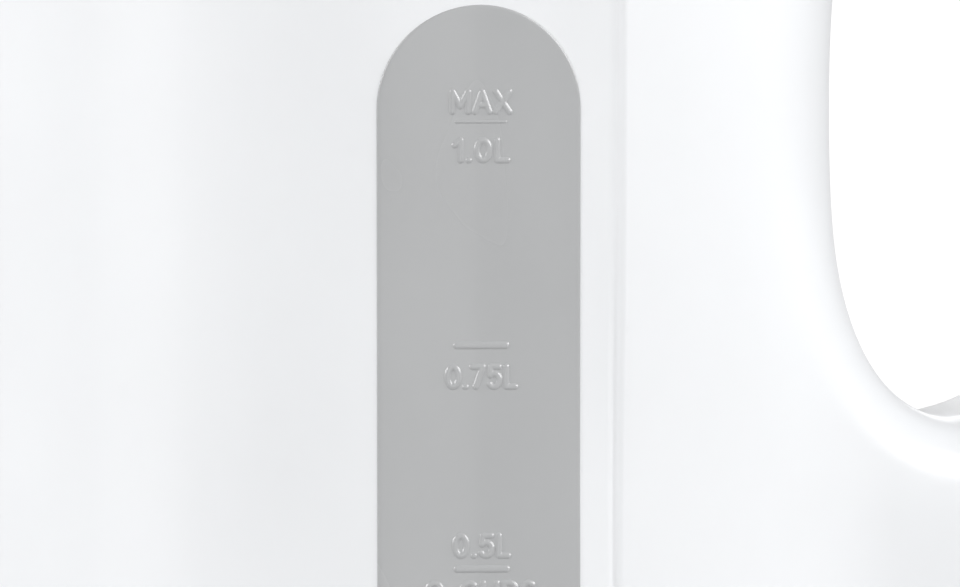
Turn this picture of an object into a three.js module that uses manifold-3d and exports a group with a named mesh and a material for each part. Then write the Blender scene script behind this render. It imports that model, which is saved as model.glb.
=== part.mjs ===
// A one-litre electric kettle: a round moulded jug with its handle in one piece, a lid with a push
// button, grey water-level windows, a concealed heater with its control, and a 360 degree power base.
// Millimetres, +Z up. Everything is laid out about the jug's own vertical axis, with the spout towards
// -X and the handle towards +X. The last lines move the kettle so that its origin is the middle of its
// bounding box, on the table.

import * as THREE from "three";
import { ConvexGeometry } from "three/addons/geometries/ConvexGeometry.js";
import { mergeVertices } from "three/addons/utils/BufferGeometryUtils.js";
import Module from "manifold-3d";

const wasm = await Module();
wasm.setup();

// ---------- driving dimensions ----------

const GAP = 0.3; // clearance between pieces that touch
const FAR = 130; // beyond the kettle in any direction, for cutting tools

const JUG = { foot: 14.5, rim: 200, outer: 56.6, inner: 53.6, widest: 57.3, rimOuter: 56 };
const LEDGE = { low: 50, high: 52, inner: 50.2 }; // the shelf that the heater plate seals against
const PLATE = { low: 47.4, high: 48.6, radius: 53 }; // the water stands on its top
const WINDOW = { half: 12.8, top: 173.7, bottom: 66, flange: 3 }; // the stadium-shaped level window
const SPOUT = { tip: -70, mouth: 20, height: 42, wall: 2.4 };
const OPENING = { x: 69.9, z: 158, front: 22.6, rear: 27.8, half: 35.9, power: 1.83 }; // for the fingers
const GRIP = { half: 12.5, wall: 2.6, cover: 3, coverHalf: 9, from: 0.19, to: 0.78 };
const STEAM = { inlet: 197, outlet: 40.5, hole: 2.3, tube: 1.7 }; // the passage to the switch
const TAIL_END = 35; // height at which the handle's tail stops, above the switch
const LID = { radius: 55.6, bottom: 200.3, back: 46, button: 9 };
const HINGE = [43, 204]; // the lid's pin, at [x, z]
const PIVOT = [49.5, 28]; // the switch lever's pin, at [x, z]
const PIN = 1.3; // radius of both pins
const BASE = { radius: 66, dish: 60.5, floor: 14, rim: 20, plate: 1.2 };
const INLET = { z: 6.2, radius: 4.2 }; // the mains cord's way into the power base
const TOWER = { radius: 9.5, top: 25.5, bore: 4.6 }; // the power base's plug, in the middle

const ROUND = 36; // facets round the big turned pieces
const SMALL = 12; // facets round the small ones

// ---------- materials ----------

const finish = (color, roughness, metalness = 0) =>
  new THREE.MeshStandardMaterial({ color, roughness, metalness });

const WHITE = finish(0xeeeff1, 0.3);
const GREY_CLEAR = finish(0xb4b6b8, 0.25);
const INNER_WHITE = finish(0xe4e5e6, 0.5);
const BLACK = finish(0x1c1c1e, 0.6);
const STEEL = finish(0xc9cacc, 0.25, 1);
const ALUMINIUM = finish(0xb9bbbe, 0.4, 1);
const BRASS = finish(0xc9a45a, 0.35, 1);
const SILICONE = finish(0xd9dadb, 0.8);
const RUBBER = finish(0x55575a, 0.9);
const ORANGE_CLEAR = finish(0xe8762c, 0.15);

// ---------- solids ----------

// Joins a closed geometry's shared vertices, and makes it a solid that can be cut.
function solid(geometry) {
  const bare = geometry.clone();
  bare.deleteAttribute("normal");
  bare.deleteAttribute("uv");
  const merged = mergeVertices(bare, 1e-4);
  const triangles = [];
  for (let i = 0; i < merged.index.count; i += 3) {
    const [a, b, c] = [0, 1, 2].map((k) => merged.index.getX(i + k));
    if (a !== b && b !== c && a !== c) {
      triangles.push(a, b, c);
    }
  }
  const mesh = new wasm.Mesh({
    numProp: 3,
    vertProperties: merged.attributes.position.array,
    triVerts: new Uint32Array(triangles),
  });
  return new wasm.Manifold(mesh);
}

function geometryOf(body) {
  const mesh = body.getMesh();
  const geometry = new THREE.BufferGeometry();
  geometry.setAttribute("position", new THREE.BufferAttribute(mesh.vertProperties, 3));
  geometry.setIndex(new THREE.BufferAttribute(mesh.triVerts, 1));
  geometry.computeVertexNormals();
  return geometry;
}

const join = (first, ...others) => others.reduce((made, next) => made.add(next), first);
const cut = (first, ...others) => others.reduce((made, next) => made.subtract(next), first);

// A profile of [radius, height] turned about the vertical axis. It runs up the outside.
function turned(profile, segments = ROUND) {
  const points = profile.map(([radius, height]) => new THREE.Vector2(radius, height));
  const onAxis = profile[0][0] === 0 && profile.at(-1)[0] === 0;
  if (!onAxis) {
    points.push(points[0].clone());
  }
  return solid(new THREE.LatheGeometry(points, segments).rotateX(Math.PI / 2));
}

const disc = (radius, low, high, segments = ROUND) =>
  turned([[0, low], [radius, low], [radius, high], [0, high]], segments);

const ring = (inner, outer, low, high, segments = ROUND) =>
  turned([[inner, low], [outer, low], [outer, high], [inner, high]], segments);

function box([x0, y0, z0], [x1, y1, z1]) {
  const geometry = new THREE.BoxGeometry(x1 - x0, y1 - y0, z1 - z0);
  return solid(geometry.translate((x0 + x1) / 2, (y0 + y1) / 2, (z0 + z1) / 2));
}

// A side-view outline of [x, z] points, extruded across from y0 to y1.
function across(outline, y0, y1) {
  const shape = new THREE.Shape(outline.map(([x, z]) => new THREE.Vector2(x, z)));
  const geometry = new THREE.ExtrudeGeometry(shape, { depth: y1 - y0, bevelEnabled: false });
  return solid(geometry.rotateX(Math.PI / 2).translate(0, y1, 0));
}

// A rod across the kettle, centred at [x, z].
function crossRod(radius, [x, z], y0, y1, segments = SMALL) {
  const geometry = new THREE.CylinderGeometry(radius, radius, y1 - y0, segments);
  return solid(geometry.translate(x, (y0 + y1) / 2, z));
}

// A rod along X at height z.
function lengthRod(radius, z, x0, x1, segments = SMALL) {
  const geometry = new THREE.CylinderGeometry(radius, radius, x1 - x0, segments);
  return solid(geometry.rotateZ(Math.PI / 2).translate((x0 + x1) / 2, 0, z));
}

// A round tube along a curve, closed at both ends.
function tube(curve, radius, steps, sides = 10) {
  const section = new THREE.Shape().absarc(0, 0, radius, 0, 2 * Math.PI);
  const options = { steps, extrudePath: curve, curveSegments: sides / 2, bevelEnabled: false };
  return solid(new THREE.ExtrudeGeometry(section, options));
}

// A self-tapping screw driven from below, with its head's upper side at height z.
function screw(x, y, z, length) {
  const head = [[0, z - 1.6], [2, z - 1.6], [2.8, z - 0.8], [2.8, z]];
  const shank = [[PIN, z], [PIN, z + length - 1.5], [0, z + length]];
  return turned([...head, ...shank], SMALL).translate([x, y, 0]);
}

// Places [x, y] evenly spaced on a circle, starting at an angle in degrees.
function circlePlaces(count, radius, startDegrees) {
  return Array.from({ length: count }, (_, i) => {
    const angle = THREE.MathUtils.degToRad(startDegrees + (360 * i) / count);
    return [radius * Math.cos(angle), radius * Math.sin(angle)];
  });
}

const kettle = new THREE.Group();
kettle.name = "electric_kettle";

function piece(name, body, material) {
  const mesh = new THREE.Mesh(geometryOf(body), material);
  mesh.name = name;
  kettle.add(mesh);
}

// ---------- the handle's outlines, in side view ----------

// The finger opening, grown outwards by a distance. Its front part is buried in the jug.
function openingOutline(grow, steps = 48) {
  const bend = 2 / OPENING.power;
  return Array.from({ length: steps }, (_, i) => {
    const angle = (2 * Math.PI * i) / steps;
    const [c, s] = [Math.cos(angle), Math.sin(angle)];
    const reach = (c > 0 ? OPENING.rear : OPENING.front) + grow;
    const rise = OPENING.half + grow;
    return [
      OPENING.x + reach * Math.sign(c) * Math.abs(c) ** bend,
      OPENING.z + rise * Math.sign(s) * Math.abs(s) ** bend,
    ];
  });
}

// The handle's back runs from the lid's hinge over the grip and down to the end of its tail.
const backCurve = new THREE.SplineCurve(
  [
    [44, 205], [58, 206.5], [70, 211], [83, 213.5], [97, 211], [108.5, 202], [113.8, 187],
    [114.5, 168], [111.5, 145], [103, 121], [91, 101], [80, 84], [72, 67], [67.5, 50], [66, TAIL_END],
  ].map(([x, z]) => new THREE.Vector2(x, z)),
);

// Points of the handle's back between two shares of its length, moved in by a distance.
function back(inset, from = 0, to = 1, steps = 44) {
  return Array.from({ length: steps + 1 }, (_, i) => {
    const share = from + ((to - from) * i) / steps;
    const point = backCurve.getPoint(share);
    const along = backCurve.getTangent(share);
    return [point.x + inset * along.y, point.y - inset * along.x];
  });
}

function silhouette(inset) {
  const bottom = TAIL_END + inset;
  const outer = back(inset).filter(([, z]) => z > bottom + 1);
  const end = outer.at(-1);
  return [...outer, [end[0], bottom], [44, bottom], [44, 198]];
}

// A strip that follows the handle's back, from an outer inset to an inner one.
function backStrip(outerInset, innerInset, from, to, half) {
  const outline = [...back(outerInset, from, to), ...back(innerInset, from, to).reverse()];
  return across(outline, -half, half);
}

// ---------- jug ----------

const jugSkin = [
  [55.6, JUG.foot], [56.9, 16.5], [JUG.widest, 30], [57.2, 60], [56.8, 100], [JUG.outer, 140],
  [JUG.outer, 175], [56.4, 190], [JUG.rimOuter, JUG.rim],
];
const jugCavity = [
  [0, 0], [JUG.inner, 0], [JUG.inner, LEDGE.low], [LEDGE.inner, LEDGE.low],
  [LEDGE.inner, LEDGE.high], [JUG.inner, LEDGE.high], [JUG.inner, JUG.rim + 5], [0, JUG.rim + 5],
];

// The jug's cheeks: flat sides that run back from the round wall and close on the grip.
function cheeks() {
  const levels = [
    [TAIL_END, [[0, 34], [18.5, 34], [62, GRIP.half]]],
    [134, [[0, 50], [18.5, 53.9], [102, GRIP.half]]],
    [184, [[0, 50], [18.5, 52.9], [58, GRIP.half]]],
  ];
  const hull = ([low, lowPlan], [high, highPlan]) => {
    const points = [...lowPlan.map(([x, y]) => [x, y, low]), ...highPlan.map(([x, y]) => [x, y, high])];
    const both = points.flatMap(([x, y, z]) => [
      new THREE.Vector3(x, y, z),
      new THREE.Vector3(x, -y, z),
    ]);
    return solid(new ConvexGeometry(both));
  };
  return join(hull(levels[0], levels[1]), hull(levels[1], levels[2]));
}

function handle() {
  const grip = across(silhouette(0), -GRIP.half, GRIP.half);
  const root = across(silhouette(0), -60, 60).intersect(cheeks());
  const opening = across(openingOutline(0), -FAR, FAR);
  const lidSpace = box([0, -FAR, JUG.rim - 0.1], [LID.back + 2.2, FAR, FAR * 2]);
  return cut(join(grip, root), opening, lidSpace);
}

function handleHollow() {
  const half = GRIP.half - GRIP.wall;
  return cut(
    across(silhouette(GRIP.wall), -half, half),
    across(openingOutline(GRIP.wall), -FAR, FAR),
    disc(JUG.widest + 0.9, 0, FAR * 2),
  );
}

// The beak: a cone let into the front wall.
function beak(inset) {
  const height = SPOUT.height - inset;
  const cone = new THREE.CylinderGeometry(SPOUT.mouth - inset, 1.2, height, 32);
  cone.rotateX(Math.PI / 2).translate(SPOUT.tip + SPOUT.mouth, 0, JUG.rim - height / 2);
  return solid(cone);
}

// A stadium in side view, round the level window.
function stadium(grow, steps = 16) {
  const radius = WINDOW.half + grow;
  const arc = (centre, start) =>
    Array.from({ length: steps + 1 }, (_, i) => {
      const angle = start + (Math.PI * i) / steps;
      return [radius * Math.cos(angle), centre + radius * Math.sin(angle)];
    });
  return [...arc(WINDOW.top - WINDOW.half, 0), ...arc(WINDOW.bottom + WINDOW.half, Math.PI)];
}

// The fixed rear segment of the top, with two lugs for the lid's pin.
function hingeBlock() {
  const segment = disc(JUG.rimOuter, JUG.rim - 1, 205.5).intersect(
    box([LID.back + 2.2, -FAR, 0], [FAR, FAR, FAR * 2]),
  );
  const seat = disc(JUG.inner, 0, JUG.rim + 0.4);
  const lugs = [-1, 1].map((side) => {
    const [y0, y1] = side < 0 ? [-25, -21.3] : [21.3, 25];
    const [x, z] = HINGE;
    return join(
      crossRod(2 * PIN, HINGE, y0, y1),
      box([x, y0, z - 2 * PIN], [LID.back + 4, y1, z + 2 * PIN]),
    );
  });
  const pinHole = crossRod(PIN + GAP, HINGE, -30, 30);
  return cut(join(cut(segment, seat), ...lugs), pinHole);
}

function switchLugs() {
  const [x, z] = PIVOT;
  const lugs = [-14.5, 11.5].map((y) => box([x - 3, y, z - 3.5], [x + 5, y + 3, z + 3.5]));
  return cut(join(...lugs), crossRod(PIN + GAP, PIVOT, -20, 20));
}

function filterRails() {
  const rails = [-18.4, 16.4].map((y) => box([-52.4, y, 156], [-48.4, y + 2, 185]));
  return join(...rails);
}

function jugBody() {
  const outside = turned([[0, JUG.foot], ...jugSkin, [0, JUG.rim]]);
  const channel = join(beak(SPOUT.wall), beak(SPOUT.wall).translate([0, 0, 3]));
  const coverSeat = backStrip(-1, GRIP.cover + GAP, GRIP.from, GRIP.to, GRIP.coverHalf + GAP);
  const shell = cut(
    join(outside, handle(), beak(0)),
    turned(jugCavity),
    handleHollow(),
    coverSeat,
    channel,
    across(stadium(GAP), -FAR, FAR),
    box([50, -10.6, 22.5], [80, 10.6, 34]),
    lengthRod(STEAM.hole, STEAM.inlet, 50, 59.5),
    box([50, -STEAM.hole, 37.8], [60, STEAM.hole, 46.5]),
  );
  return join(shell, hingeBlock(), switchLugs(), filterRails());
}

piece("jug_body", jugBody(), WHITE);

const coverEnds = [GRIP.from + 0.002, GRIP.to - 0.002];
piece("handle_cover", backStrip(0, GRIP.cover, ...coverEnds, GRIP.coverHalf), WHITE);

// Each window lies in the wall, with a wider flange behind it.
for (const [name, side] of [["level_window_left", -1], ["level_window_right", 1]]) {
  const [y0, y1] = side < 0 ? [-FAR, 0] : [0, FAR];
  const pane = ring(JUG.inner - GAP - 0.1, JUG.outer, 0, JUG.rim).intersect(
    across(stadium(0), y0, y1),
  );
  const flange = ring(JUG.inner - 1.6, JUG.inner - GAP, 0, JUG.rim).intersect(
    across(stadium(WINDOW.flange), y0, y1),
  );
  piece(name, join(pane, flange), GREY_CLEAR);
}

const COLLAR = { inner: 51.6, outer: 53.3, low: 186, high: 199.7 };

function topCollar() {
  const band = ring(COLLAR.inner, COLLAR.outer, COLLAR.low, COLLAR.high);
  const keeper = box([-60, -5, 193], [-50, 5, 201]);
  const steamHole = lengthRod(STEAM.hole, STEAM.inlet, 48, 60);
  return cut(band, keeper, steamHole);
}

piece("top_collar", topCollar(), INNER_WHITE);

function filterFrame() {
  const outer = box([-50.6, -16, 157], [-48.6, 16, 185.6]);
  return cut(outer, box([-60, -13.5, 160], [-40, 13.5, 183]));
}

function filterMesh() {
  const [half, low, high] = [13.2, 160.3, 182.7];
  const [columns, rows, hole] = [6, 5, 3];
  const sheet = box([-49.9, -half, low], [-49.4, half, high]);
  const holes = [];
  for (let column = 0; column < columns; column++) {
    for (let row = 0; row < rows; row++) {
      const y = -half + (2 * half * (column + 0.5)) / columns - hole / 2;
      const z = low + ((high - low) * (row + 0.5)) / rows - hole / 2;
      holes.push(box([-60, y, z], [-40, y + hole, z + hole]));
    }
  }
  return cut(sheet, ...holes);
}

piece("filter_frame", filterFrame(), INNER_WHITE);
piece("filter_mesh", filterMesh(), STEEL);

// ---------- heater and control ----------

const CONTROL = { radius: 26, high: 40 };

piece("plate_seal", ring(LEDGE.inner + 0.2, 53.2, PLATE.high + GAP, LEDGE.low - GAP), SILICONE);
piece("heater_plate", disc(PLATE.radius, PLATE.low, PLATE.high), STEEL);
piece("heat_spreader", disc(44, 44.6, PLATE.low - GAP), ALUMINIUM);

function heatingElement() {
  const [radius, low, high] = [36, 37, 41.2];
  const ends = [25, 335];
  const points = Array.from({ length: 25 }, (_, i) => {
    const angle = THREE.MathUtils.degToRad(ends[0] + ((ends[1] - ends[0]) * i) / 24);
    return new THREE.Vector3(radius * Math.cos(angle), radius * Math.sin(angle), high);
  });
  const tail = (point) => new THREE.Vector3(point.x, point.y, low);
  const route = [tail(points[0]), ...points, tail(points.at(-1))];
  return tube(new THREE.CatmullRomCurve3(route, false, "centripetal"), 3, 36, 8);
}

piece("heating_element", heatingElement(), STEEL);

const bottomScrews = circlePlaces(3, 48, 60);

function clampRing() {
  const band = ring(46.5, 53.2, 44.4, PLATE.low - GAP);
  const posts = bottomScrews.map(([x, y]) => {
    const arm = disc(3.4, 18.3, 47, SMALL).translate([x, y, 0]);
    return cut(arm, disc(1.6, 0, 40, SMALL).translate([x, y, 0]));
  });
  return join(band, ...posts);
}

piece("plate_clamp_ring", clampRing(), INNER_WHITE);

// The control's housing, with the socket for the power base's plug in its underside.
function controlBlock() {
  const housing = join(
    disc(CONTROL.radius, 21, 36),
    disc(15, 15, 22),
    box([18, -9, 26], [41.5, 9, 40]),
    box([-12, -12, 35], [12, 12, CONTROL.high]),
  );
  const socket = disc(13, 10, 28.5);
  const pinSeat = disc(2.6, 28, 31, SMALL);
  return cut(housing, socket, pinSeat);
}

piece("control_block", controlBlock(), BLACK);
piece("connector_ring", ring(10.4, 12.6, 18, 28), BRASS);
piece("connector_pin", disc(2.2, 17, 30.5, SMALL), BRASS);
piece("dry_boil_bimetal", disc(9, 42, 42.5, 32), BRASS);
piece("steam_bimetal", lengthRod(6.5, 34.5, 42, 42.5, 32), BRASS);
piece("indicator_lamp", crossRod(2.2, [33, 22.4], -7, 7), ORANGE_CLEAR);

const steamRoute = [
  [54.2, STEAM.inlet], [59, 197.6], [64, 201.5], [70, 205], [78, 207.3], [86, 207], [97, 203],
  [104, 190], [105.5, 168], [102.5, 145], [95, 125], [84, 105], [74, 88], [66.5, 70], [62.5, 54],
  [60.3, 46], [56.5, STEAM.outlet + 1], [49, STEAM.outlet],
].map(([x, z]) => new THREE.Vector3(x, 0, z));

piece("steam_tube", tube(new THREE.CatmullRomCurve3(steamRoute), STEAM.tube, 44, 6), SILICONE);

function bottomCover() {
  const plate = ring(15.4, 53.2, 15.2, 17.8);
  const ribs = ring(34, 35.5, 17, 20);
  const holes = bottomScrews.flatMap(([x, y]) => [
    disc(1.6, 0, 30, SMALL).translate([x, y, 0]),
    disc(3.2, 0, 16.9, SMALL).translate([x, y, 0]),
  ]);
  return cut(join(plate, ribs), ...holes);
}

piece("bottom_cover", bottomCover(), BLACK);
bottomScrews.forEach(([x, y], i) => {
  piece(`bottom_screw_${i + 1}`, screw(x, y, 16.6, 14), STEEL);
});

// ---------- switch ----------

function switchLever() {
  const [x, z] = PIVOT;
  const paddle = [
    [x - 1, z + 2.6], [56, 31.4], [67, 32.2], [70.5, 31.6], [72, 29.6], [71, 27.4], [68, 26.3],
    [56, 26.2], [x - 1, z - 2.6],
  ];
  const arm = across(paddle, -9.8, 9.8);
  const hub = crossRod(3.2, PIVOT, -10.2, 10.2);
  const bore = crossRod(PIN + GAP, PIVOT, -20, 20);
  const lensSeat = box([67, -4.3, 28.7], [80, 4.3, 40]);
  return cut(join(arm, hub), bore, lensSeat);
}

function indicatorLens() {
  const outline = [[67.3, 29], [71.4, 29], [71.5, 29.8], [70.3, 31.4], [67.3, 32]];
  return across(outline, -4, 4);
}

piece("switch_lever", switchLever(), GREY_CLEAR);
piece("indicator_lens", indicatorLens(), ORANGE_CLEAR);
piece("switch_pivot_pin", crossRod(PIN, PIVOT, -14.4, 14.4), STEEL);

// ---------- lid ----------

const lidDome = [
  [0, LID.bottom], [54.9, LID.bottom], [LID.radius, 201.2], [55.3, 203.2], [52, 205.4], [44, 207],
  [30, 208.4], [15, 209.1], [0, 209.4],
];
const lidUnder = [
  [0, LID.bottom - 5], [51, LID.bottom - 5], [51, 202.4], [48, 203.8], [42, 204.9], [30, 206],
  [15, 206.7], [0, 207],
];

function lidCap() {
  const front = (x) => box([-FAR, -FAR, 0], [x, FAR, FAR * 2]);
  const shell = cut(
    turned(lidDome).intersect(front(LID.back)),
    turned(lidUnder).intersect(front(LID.back - 2.4)),
  );
  const barrel = crossRod(2 * PIN, HINGE, -20.7, 20.7);
  const buttonGuide = ring(LID.button + GAP, LID.button + 2, 203, 208);
  const lugSpaces = [-25.4, 21].map((y) => box([38, y, 195], [FAR, y + 4.4, FAR * 2]));
  return cut(
    join(shell, barrel, buttonGuide),
    disc(LID.button + GAP, 0, FAR * 2),
    crossRod(PIN + GAP, HINGE, -30, 30),
    box([38, -FAR, 0], [FAR, FAR, 201.5]),
    ...lugSpaces,
  );
}

piece("lid_cap", lidCap(), WHITE);
piece("lid_hinge_pin", crossRod(PIN, HINGE, -24.8, 24.8), STEEL);

const LINER = { radius: 50.3, wall: 1.8, low: 190.5, high: 202.1 };

function lidLiner() {
  const inner = LINER.radius - LINER.wall;
  const dish = turned([
    [0, LINER.low], [48, LINER.low], [LINER.radius, 192.5], [LINER.radius, LINER.high],
    [inner, LINER.high], [inner, 193], [0, 193],
  ]);
  const latchSlot = box([-60, -4.5, 194], [-40, 4.5, 198.5]);
  const rearSpace = box([36, -FAR, 199.4], [FAR, FAR, FAR * 2]);
  const springPost = box([26, -4, 192.5], [28.5, 4, 199.5]);
  return join(cut(dish, latchSlot, rearSpace), springPost);
}

piece("lid_liner", lidLiner(), INNER_WHITE);
piece("lid_seal", ring(LINER.radius + GAP, 51.2, 198.8, 200), SILICONE);

function lidButton() {
  const head = turned([
    [0, 205], [LID.button, 205], [LID.button, 209.6], [8.4, 210.2], [5, 210], [0, 209.8],
  ]);
  const stem = disc(4.5, 198.8, 205.5, SMALL);
  const ramp = across([[2.2, 198], [2.2, 198.8], [5.2, 201.8], [8, 201.8], [8, 198]], -10, 10);
  return cut(join(head, stem), ramp);
}

// The latch runs from its nose in the collar's keeper to the ramp that the button's stem pushes.
function latchSlider() {
  const nose = box([-52.8, -4, 194.3], [-20, 4, 198.2]);
  const plate = box([-21, -9, 194.3], [15, 9, 198.2]);
  const ramp = across([[2, 198], [2.2, 198.2], [6, 202], [9, 202], [9, 198]], -4.5, 4.5);
  const stemSlot = box([-8, -5.2, 190], [2, 5.2, 200]);
  return join(cut(join(nose, plate), stemSlot), ramp);
}

function latchSpring() {
  const [start, length, turns, radius] = [15.6, 9.8, 4, 2];
  const perTurn = 8;
  const points = Array.from({ length: turns * perTurn + 1 }, (_, i) => {
    const angle = (2 * Math.PI * i) / perTurn;
    const x = start + (length * i) / (turns * perTurn);
    return new THREE.Vector3(x, radius * Math.cos(angle), 196.2 + radius * Math.sin(angle));
  });
  return tube(new THREE.CatmullRomCurve3(points), 0.35, turns * perTurn, 6);
}

piece("lid_button", lidButton(), GREY_CLEAR);
piece("latch_slider", latchSlider(), INNER_WHITE);
piece("latch_spring", latchSpring(), STEEL);

// ---------- power base ----------

const baseFeet = circlePlaces(4, 52, 45);
const baseScrews = circlePlaces(3, 40, 90);

function baseTop() {
  const shell = turned([
    [65.2, 1], [BASE.radius, 2], [BASE.radius, 11], [65.2, 16.5], [63.6, 19.4], [62.2, BASE.rim],
    [61.2, 19.2], [BASE.dish, 14.6], [BASE.dish - 0.6, BASE.floor], [TOWER.radius + 0.6, BASE.floor],
    [TOWER.radius + 0.6, 11.5], [60.5, 11.5], [63, 11], [63.4, 9], [63.4, 1],
  ]);
  const bosses = baseScrews.map(([x, y]) => disc(3.4, 4.3, 12, SMALL).translate([x, y, 0]));
  const bores = baseScrews.map(([x, y]) => disc(1.6, 0, 11, SMALL).translate([x, y, 0]));
  const earthGroove = ring(13, 15.4, 12.8, 20);
  const inlet = lengthRod(INLET.radius + GAP, INLET.z, 50, 80);
  return cut(join(shell, ...bosses), ...bores, earthGroove, inlet);
}

function basePlate() {
  const plate = disc(63, BASE.plate, 4);
  const socketSeat = ring(12, 15, 3.5, 8.4);
  const footSeats = baseFeet.map(([x, y]) => disc(6.3, 0, 2.7, SMALL).translate([x, y, 0]));
  const screwSeats = baseScrews.flatMap(([x, y]) => [
    disc(3.2, 0, 3.3, SMALL).translate([x, y, 0]),
    disc(1.6, 0, 5, SMALL).translate([x, y, 0]),
  ]);
  const inletSpace = box([58, -5.6, 0], [70, 5.6, 20]);
  return cut(join(plate, socketSeat), ...footSeats, ...screwSeats, inletSpace);
}

function baseSocket() {
  const body = turned([
    [0, 8.7], [15.5, 8.7], [15.5, 11.2], [TOWER.radius, 11.2], [TOWER.radius, 24.8],
    [8.8, TOWER.top], [TOWER.bore, TOWER.top], [TOWER.bore, 15], [0, 15],
  ]);
  return cut(body, ring(7.9, 12, 17, 22.3));
}

piece("base_top", baseTop(), WHITE);
piece("base_plate", basePlate(), BLACK);
piece("base_socket", baseSocket(), BLACK);
piece("socket_contact_live", ring(3.2, TOWER.bore - GAP, 15.3, 24, SMALL), BRASS);
piece("socket_contact_neutral", ring(8.2, 9.2, 17.4, 21.9), BRASS);
piece("socket_contact_earth", ring(13.3, 15.1, 13.1, 14.6), BRASS);

baseFeet.forEach(([x, y], i) => {
  piece(`base_foot_${i + 1}`, disc(6, 0, 2.4, 24).translate([x, y, 0]), RUBBER);
});
baseScrews.forEach(([x, y], i) => {
  piece(`base_screw_${i + 1}`, screw(x, y, 3, 7.5), STEEL);
});

// The mains cord's inlet: a bush in the base's skirt, and the bar that would clamp the cord.
function cordGland() {
  const bush = join(
    lengthRod(INLET.radius, INLET.z, 60.5, 67),
    lengthRod(INLET.radius + 1.2, INLET.z, 66.3, 68.2),
    lengthRod(INLET.radius + 0.5, INLET.z, 60, 62),
  );
  return cut(bush, lengthRod(3.3, INLET.z, 50, 80));
}

piece("cord_gland", cordGland(), BLACK);
piece("cord_clamp", box([48, -8, 4.3], [53, 8, 8]), BLACK);

// ---------- origin ----------

const bounds = new THREE.Box3().setFromObject(kettle);
kettle.position.x = -(bounds.min.x + bounds.max.x) / 2;

export default kettle;
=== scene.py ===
"""The electric kettle's visible surfaces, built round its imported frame.

The frame's own numbers are in metres. The jug's forms are worked out in millimetres about the jug's
vertical axis, which stands at AXIS_X in the frame, and are moved into the frame as they become meshes.
"""

import contextlib
import math

import bmesh
import bpy
import numpy as np
from mathutils import Matrix, Vector


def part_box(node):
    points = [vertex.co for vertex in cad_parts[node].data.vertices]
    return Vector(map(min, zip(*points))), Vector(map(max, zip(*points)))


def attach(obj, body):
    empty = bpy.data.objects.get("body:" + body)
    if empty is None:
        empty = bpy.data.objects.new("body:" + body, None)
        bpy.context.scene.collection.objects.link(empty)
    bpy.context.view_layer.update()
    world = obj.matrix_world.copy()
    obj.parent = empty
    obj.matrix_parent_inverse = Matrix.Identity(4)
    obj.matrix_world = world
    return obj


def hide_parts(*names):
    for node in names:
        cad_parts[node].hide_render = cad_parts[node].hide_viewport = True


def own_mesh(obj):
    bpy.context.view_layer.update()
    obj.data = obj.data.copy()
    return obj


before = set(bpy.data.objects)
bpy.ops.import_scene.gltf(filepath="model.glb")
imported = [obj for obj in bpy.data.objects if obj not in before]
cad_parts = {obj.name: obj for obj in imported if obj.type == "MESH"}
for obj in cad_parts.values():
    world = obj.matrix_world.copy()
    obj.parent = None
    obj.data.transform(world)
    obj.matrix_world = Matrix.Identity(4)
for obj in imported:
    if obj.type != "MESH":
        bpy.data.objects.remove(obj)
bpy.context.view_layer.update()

# ---------- places taken from the frame, in millimetres about the jug's axis ----------

MM = 0.001
BASE_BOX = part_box("base_top")
AXIS_X = (BASE_BOX[0][0] + BASE_BOX[1][0]) / 2


def local_box(node):
    """A node's corners in millimetres, measured from the jug's axis."""
    low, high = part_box(node)
    return (
        np.array([(low[0] - AXIS_X), low[1], low[2]]) / MM,
        np.array([(high[0] - AXIS_X), high[1], high[2]]) / MM,
    )


JUG_LOW = local_box("jug_body")[0]

# ---------- driving dimensions, as in the CAD model ----------

FOOT, RIM = JUG_LOW[2], 200.0
INNER_R = 53.6
SKIN = [(14.5, 55.9), (16.5, 56.9), (30, 57.3), (60, 57.2), (100, 56.8), (140, 56.6), (175, 56.6),
        (190, 56.4), (200, 56.0)]
WINDOW = {"half": 12.8, "top": 173.7, "bottom": 66.0, "lip": 2.0, "inside": 52.0, "rise": 0.16, "side": 30}
SPOUT = {"tip": JUG_LOW[0], "foot": 1.2, "mouth": 20.0, "height": 42.0, "wall": 2.4, "inner_end": -46}
OPENING = {"x": 69.9, "z": 158.0, "front": 22.6, "rear": 27.8, "half": 35.9, "power": 1.83}
GRIP = {"half": 12.5, "round": 9.0}
CHEEK = {"half": 34, "lean": 0.201, "level": 136.0, "front": 18.5, "slope": 0.496}
TAIL_END = 35.0
LID_BACK = 46.0
LID_SHELF = {"radius": 55.6, "front": 48.2, "middle": 202.95, "reach": 2.55}
REAR_RIM = {"radius": 56, "middle": 202, "reach": 3.5}
BEHIND_LID = 48.4
PLATE_LEDGE = {"depth": 3.4, "under": (49.4, 50.2), "over": (52.6, 51.8)}
SWITCH_SLOT = {"half": 10.6, "middle": 28.25, "reach": 5.75, "front": 48}
HINGE = (43.0, 204.0)
PIVOT = (49.5, 28.0)
PIN, PIN_BORE = 1.3, 1.6
MARK_STEP = 27.44
MAX_MARK = 159.33
CORD_INLET = {"radius": 4.5, "height": 6.2}
SCREW_HOLE = {"shank": 1.6, "head": 3.2}
COVER_SCREWS, BASE_SCREWS, BASE_FEET = (3, 48, 60), (3, 40, 90), (4, 52, 45)

# ---------- shared mesh helpers ----------


def linked(name, data):
    obj = bpy.data.objects.new(name, data)
    bpy.context.scene.collection.objects.link(obj)
    return obj


def frame_mesh(name, verts, faces):
    """A mesh in the frame, from millimetre points about the jug's axis."""
    mesh = bpy.data.meshes.new(name)
    points = np.asarray(verts, float) * MM
    points[:, 0] += AXIS_X
    mesh.from_pydata(points.tolist(), [], [list(map(int, f)) for f in faces])
    return mesh


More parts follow.
